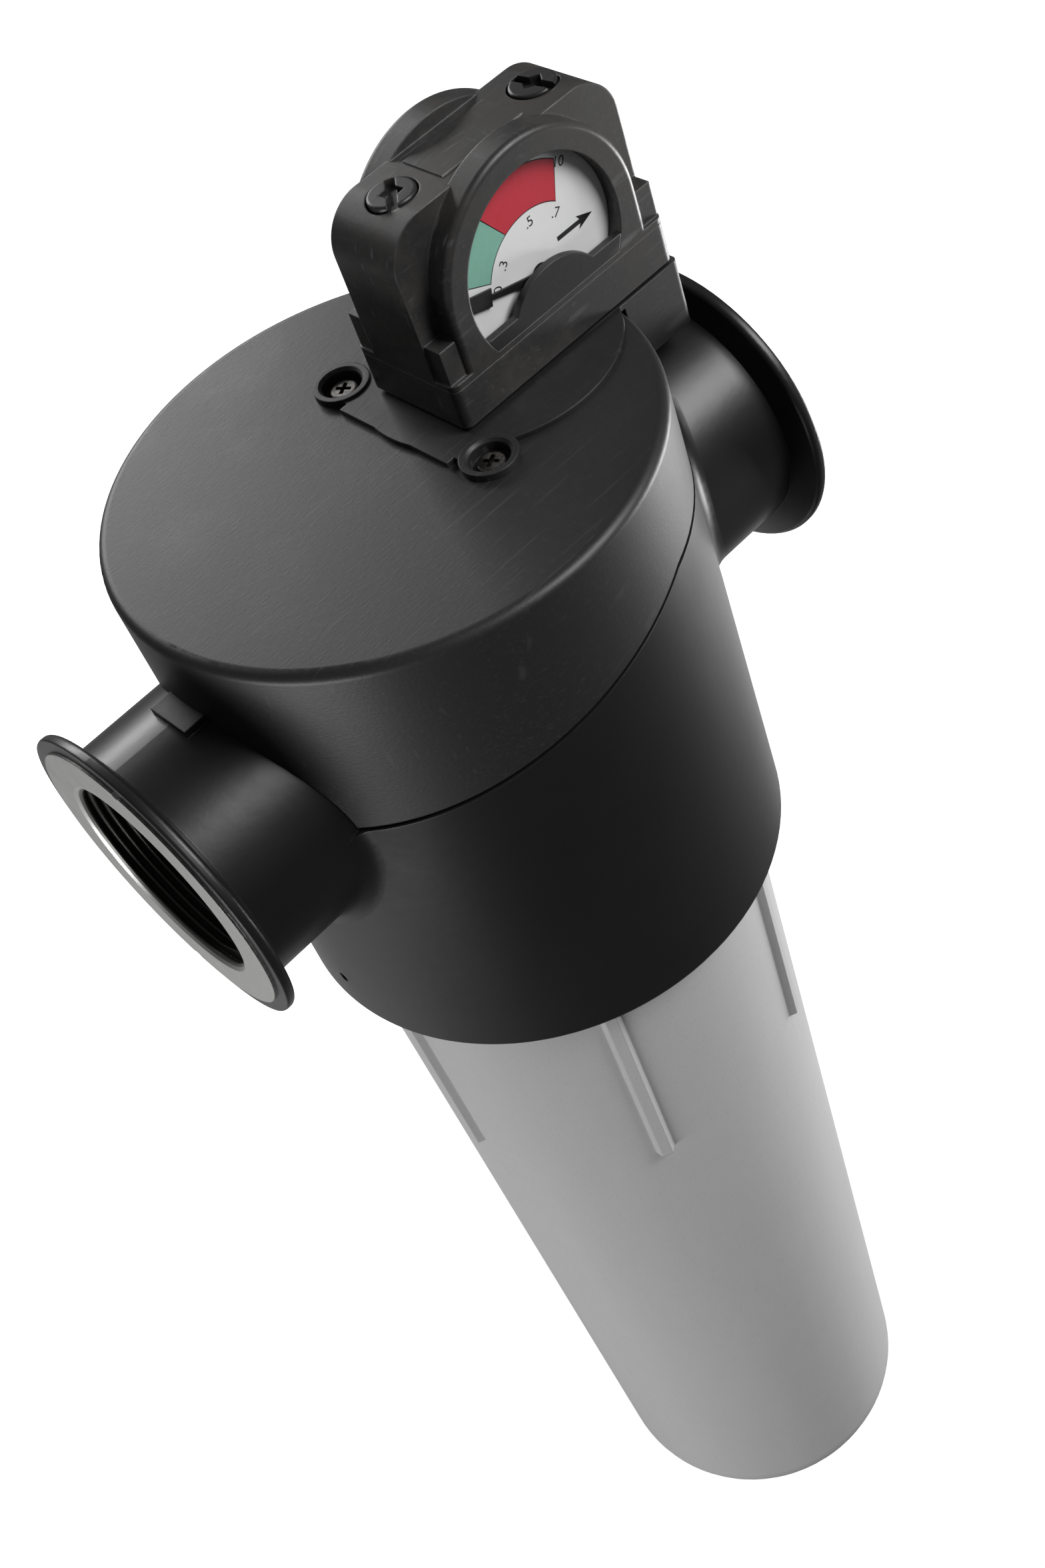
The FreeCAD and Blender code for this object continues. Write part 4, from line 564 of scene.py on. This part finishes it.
ink_green = ink_material("ink_green", (0.235, 0.500, 0.395))
ink_red = ink_material("ink_red", (0.585, 0.034, 0.056))
ink_black = ink_material("ink_black", (0.012, 0.011, 0.011))


def place_ink(mesh_object, layer, rear):
    """Lays a flat mesh, drawn in X and Z about the gauge's middle, on the front or the rear card."""
    y = card_y - INK * layer
    mesh_object.data.transform(Matrix.Translation(Vector((0, y, 0))))
    if rear:
        mesh_object.data.transform(Matrix.Rotation(math.pi, 4, "Z"))
    mesh_object.data.transform(Matrix.Translation(Vector((gauge_x, 0, 0))))
    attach(mesh_object, "filter_head")


def ink_sheet(name, outline, ink, layer, rear):
    mesh = bpy.data.meshes.new(name)
    mesh.from_pydata([(x, 0.0, z) for x, z in outline], [], [list(range(len(outline)))])
    sheet = bpy.data.objects.new(name, mesh)
    bpy.context.scene.collection.objects.link(sheet)
    mesh.materials.append(ink)
    place_ink(sheet, layer, rear)


print("inks:", ink_green.name, ink_red.name, ink_black.name)


# %% Arc fields
def arc_points(arc, start, end, steps=24, grow=0.0):
    """Points on an arc between two angles, in degrees, seen from the front."""
    x, z, radius = arc
    angles = [math.radians(start + (end - start) * i / steps) for i in range(steps + 1)]
    return [(x + (radius + grow) * math.cos(a), z + (radius + grow) * math.sin(a)) for a in angles]


def field_outline(outer_span, inner_span, grow=0.0):
    """A field between the two arcs. grow widens it all round for the dark outline."""
    turn = math.degrees(grow / OUTER_ARC[2])
    outer = arc_points(OUTER_ARC, outer_span[0] + turn, outer_span[1] - turn, grow=grow)
    inner = arc_points(INNER_ARC, inner_span[1] - turn, inner_span[0] + turn, grow=-grow)
    return outer + inner


GREEN = ((166.5, 122.5), (156.0, 115.0))
RED = ((122.5, 52.5), (115.0, 55.0))
LINE_HALF = 0.00013


def print_fields(side, rear):
    for label, spans, ink in (("green", GREEN, ink_green), ("red", RED, ink_red)):
        ink_sheet(f"{side}_{label}_line", field_outline(*spans, grow=LINE_HALF), ink_black, 1, rear)
        ink_sheet(f"{side}_{label}_field", field_outline(*spans, grow=-LINE_HALF), ink, 2, rear)


print_fields("front", False)
print_fields("rear", True)
print("arc fields printed on both cards")


# %% Arrow and figures
def print_arrow(side, rear):
    tail, tip, height = 0.0072, 0.0190, 0.0837
    shaft_half, shaft_end = 0.0006, tip - 0.0042
    barb_half, barb_end = 0.0018, tip - 0.0050
    outline = [(tail, height - shaft_half), (shaft_end, height - shaft_half), (barb_end, height - barb_half),
               (tip, height), (barb_end, height + barb_half), (shaft_end, height + shaft_half),
               (tail, height + shaft_half)]
    ink_sheet(f"{side}_arrow", outline, ink_black, 1, rear)


FIGURES = [("0", -0.0127, 0.0833, 68.0), (".3", -0.0093, 0.0876, 50.0), (".5", 0.0010, 0.0925, 6.0),
           (".7", 0.0089, 0.0899, -26.0), ("10", 0.0136, 0.1005, -24.0)]
FIGURE_SIZE = 0.0036


def print_figure(side, text, x, z, turn, rear):
    """Text is a curve first; its mesh is stood upright on the card."""
    letters = bpy.data.curves.new(f"{side}_figure", "FONT")
    letters.body = text
    letters.size = FIGURE_SIZE
    letters.align_x = "CENTER"
    letters.align_y = "CENTER"
    source = bpy.data.objects.new(f"{side}_figure_source", letters)
    mesh = bpy.data.meshes.new_from_object(source)
    bpy.data.objects.remove(source)
    name = f"{side}_figure_{text.replace('.', 'point')}"
    figure = bpy.data.objects.new(name, mesh)
    bpy.context.scene.collection.objects.link(figure)
    mesh.transform(Matrix.Rotation(math.radians(turn), 4, "Z"))
    mesh.transform(Matrix.Rotation(math.pi / 2, 4, "X"))
    mesh.transform(Matrix.Translation(Vector((x, 0, z))))
    mesh.materials.clear()
    mesh.materials.append(ink_black)
    place_ink(figure, 1, rear)


for side, rear in (("front", False), ("rear", True)):
    print_arrow(side, rear)
    for text, x, z, turn in FIGURES:
        print_figure(side, text, x, z, turn, rear)
print("figures on each card:", len(FIGURES))

# %% [markdown]
# ## Floor
# The part hangs by its ports in a pipe run, so nothing of it touches the floor. The floor lies a little
# below the drain. It is grey in front, so that the black head has something dark to mirror, and turns pale
# towards the back, which draws the head's edges. For the camera a plain glow lifts it to white, and it
# still takes the part's shadow, because its diffuse half stays.

# %% Floor
FLOOR_GLOW = 0.95
FLOOR_HALF = 6.0
FLOOR_DROP = 0.03


def floor_finish():
    material = bpy.data.materials.new("floor_white")
    material.use_nodes = True
    tree = material.node_tree
    shader = tree.nodes["Principled BSDF"]
    shader.inputs["Roughness"].default_value = 0.9
    shader.inputs["Specular IOR Level"].default_value = 0.1
    grain = remap(tree, object_noise(tree, 40.0, 4.0, 0.6), 0.3, 0.7)
    place = add_node(tree, "ShaderNodeSeparateXYZ")
    join(tree, add_node(tree, "ShaderNodeTexCoord").outputs["Object"], place.inputs[0])
    behind = remap(tree, place.outputs["Y"], -0.02, 0.28)
    tone = blend_colours(tree, behind, (0.07, 0.07, 0.07), (0.72, 0.72, 0.72))
    tone = blend_colours(tree, sum_of(tree, grain, 0.05, "MULTIPLY"), tone, (0.5, 0.5, 0.5))
    join(tree, tone, shader.inputs["Base Color"])
    paths = add_node(tree, "ShaderNodeLightPath")
    seen = sum_of(tree, paths.outputs["Is Camera Ray"], paths.outputs["Is Transmission Ray"], "MAXIMUM")
    shader.inputs["Emission Color"].default_value = (1, 1, 1, 1)
    join(tree, sum_of(tree, seen, FLOOR_GLOW, "MULTIPLY"), shader.inputs["Emission Strength"])
    return material


half = FLOOR_HALF
floor_corners = [(-half, -half, 0), (half, -half, 0), (half, half, 0), (-half, half, 0)]
floor_mesh = bpy.data.meshes.new("floor")
floor_mesh.from_pydata(floor_corners, [], [(0, 1, 2, 3)])
floor = bpy.data.objects.new("floor", floor_mesh)
floor.location = (middle_x, 0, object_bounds()[0][2] - FLOOR_DROP)
bpy.context.scene.collection.objects.link(floor)
floor_mesh.materials.append(floor_finish())
print("floor at z", round(floor.location.z, 3))

# %% [markdown]
# ## Studio light
# Soft lamps make the long, calm highlights of a dark painted casting. One behind greys the cap's flat top,
# one high in front on the right lies along the port tubes, and one at each side lights the bowl. The world
# adds a faint fill.

# %% Lamps
HEAD_AIM = (0.098, 0.0, -0.05)
LOW_AIM = (0.098, 0.0, -0.25)


def soft_lamp(name, place, size, power, aim=HEAD_AIM):
    data = bpy.data.lights.new(name, "AREA")
    data.shape = "RECTANGLE"
    data.size, data.size_y = size
    data.energy = power
    lamp = bpy.data.objects.new(name, data)
    lamp.location = place
    lamp.rotation_euler = (Vector(aim) - Vector(place)).to_track_quat("-Z", "Y").to_euler()
    bpy.context.scene.collection.objects.link(lamp)


soft_lamp("lamp_back", (0.22, 0.95, 0.47), (0.7, 0.22), 6.2)
soft_lamp("lamp_front_right", (0.62, -0.72, 0.80), (0.56, 0.56), 12.0)
soft_lamp("lamp_left", (-0.85, -0.15, -0.40), (0.6, 0.20), 6.0, LOW_AIM)
soft_lamp("lamp_right", (1.00, -0.20, -0.40), (0.6, 0.20), 8.5, LOW_AIM)

world = bpy.data.worlds.new("studio")
bpy.context.scene.world = world
world.use_nodes = True
air = world.node_tree
glow = air.nodes["Background"]
glow.inputs["Color"].default_value = (1, 1, 1, 1)
rays = add_node(air, "ShaderNodeLightPath")
FILL = 0.10
seen_air = sum_of(air, rays.outputs["Is Camera Ray"], rays.outputs["Is Transmission Ray"], "MAXIMUM")
join(air, sum_of(air, sum_of(air, seen_air, 1.0 - FILL, "MULTIPLY"), FILL), glow.inputs["Strength"])
print("lamps:", len(bpy.data.lights))

# %% [markdown]
# ## Camera
# The photograph's view was solved from the rims, ports and ribs: a turn about an axis, a distance and a
# focal length. The camera stands high and to the left of the front, rolled, with a small shift for the
# picture's crop.

# %% Camera
HEAD_RADIUS = 0.071
CAP_TOP = 0.05815
SENSOR = 36.0
turn_axis = Vector((2.188, -1.025, 0.050))
offset = Vector((-0.655, -1.264, 6.695))
picture_width, picture_height = 1568, 2353
focal_pixels = 3011.0
centre_pixels = (857.8, 1251.2)

world_to_eye = Quaternion(turn_axis.normalized(), turn_axis.length).to_matrix()
eye = -(world_to_eye.transposed() @ offset) * HEAD_RADIUS + Vector((middle_x, 0.0, CAP_TOP))
upright = Matrix(((1, 0, 0), (0, -1, 0), (0, 0, -1)))
turned = (world_to_eye.transposed() @ upright).to_4x4()

camera_data = bpy.data.cameras.new("camera")
camera_data.sensor_width = SENSOR
camera_data.lens = SENSOR * focal_pixels / picture_height
camera_data.shift_x = -(centre_pixels[0] - picture_width / 2) / picture_height
camera_data.shift_y = (centre_pixels[1] - picture_height / 2) / picture_height
camera = bpy.data.objects.new("camera", camera_data)
camera.matrix_world = Matrix.Translation(eye) @ turned
bpy.context.scene.collection.objects.link(camera)
bpy.context.scene.camera = camera
bpy.context.scene.view_settings.view_transform = "Standard"
print("camera at", [round(v, 3) for v in eye], "lens", round(camera_data.lens, 2))
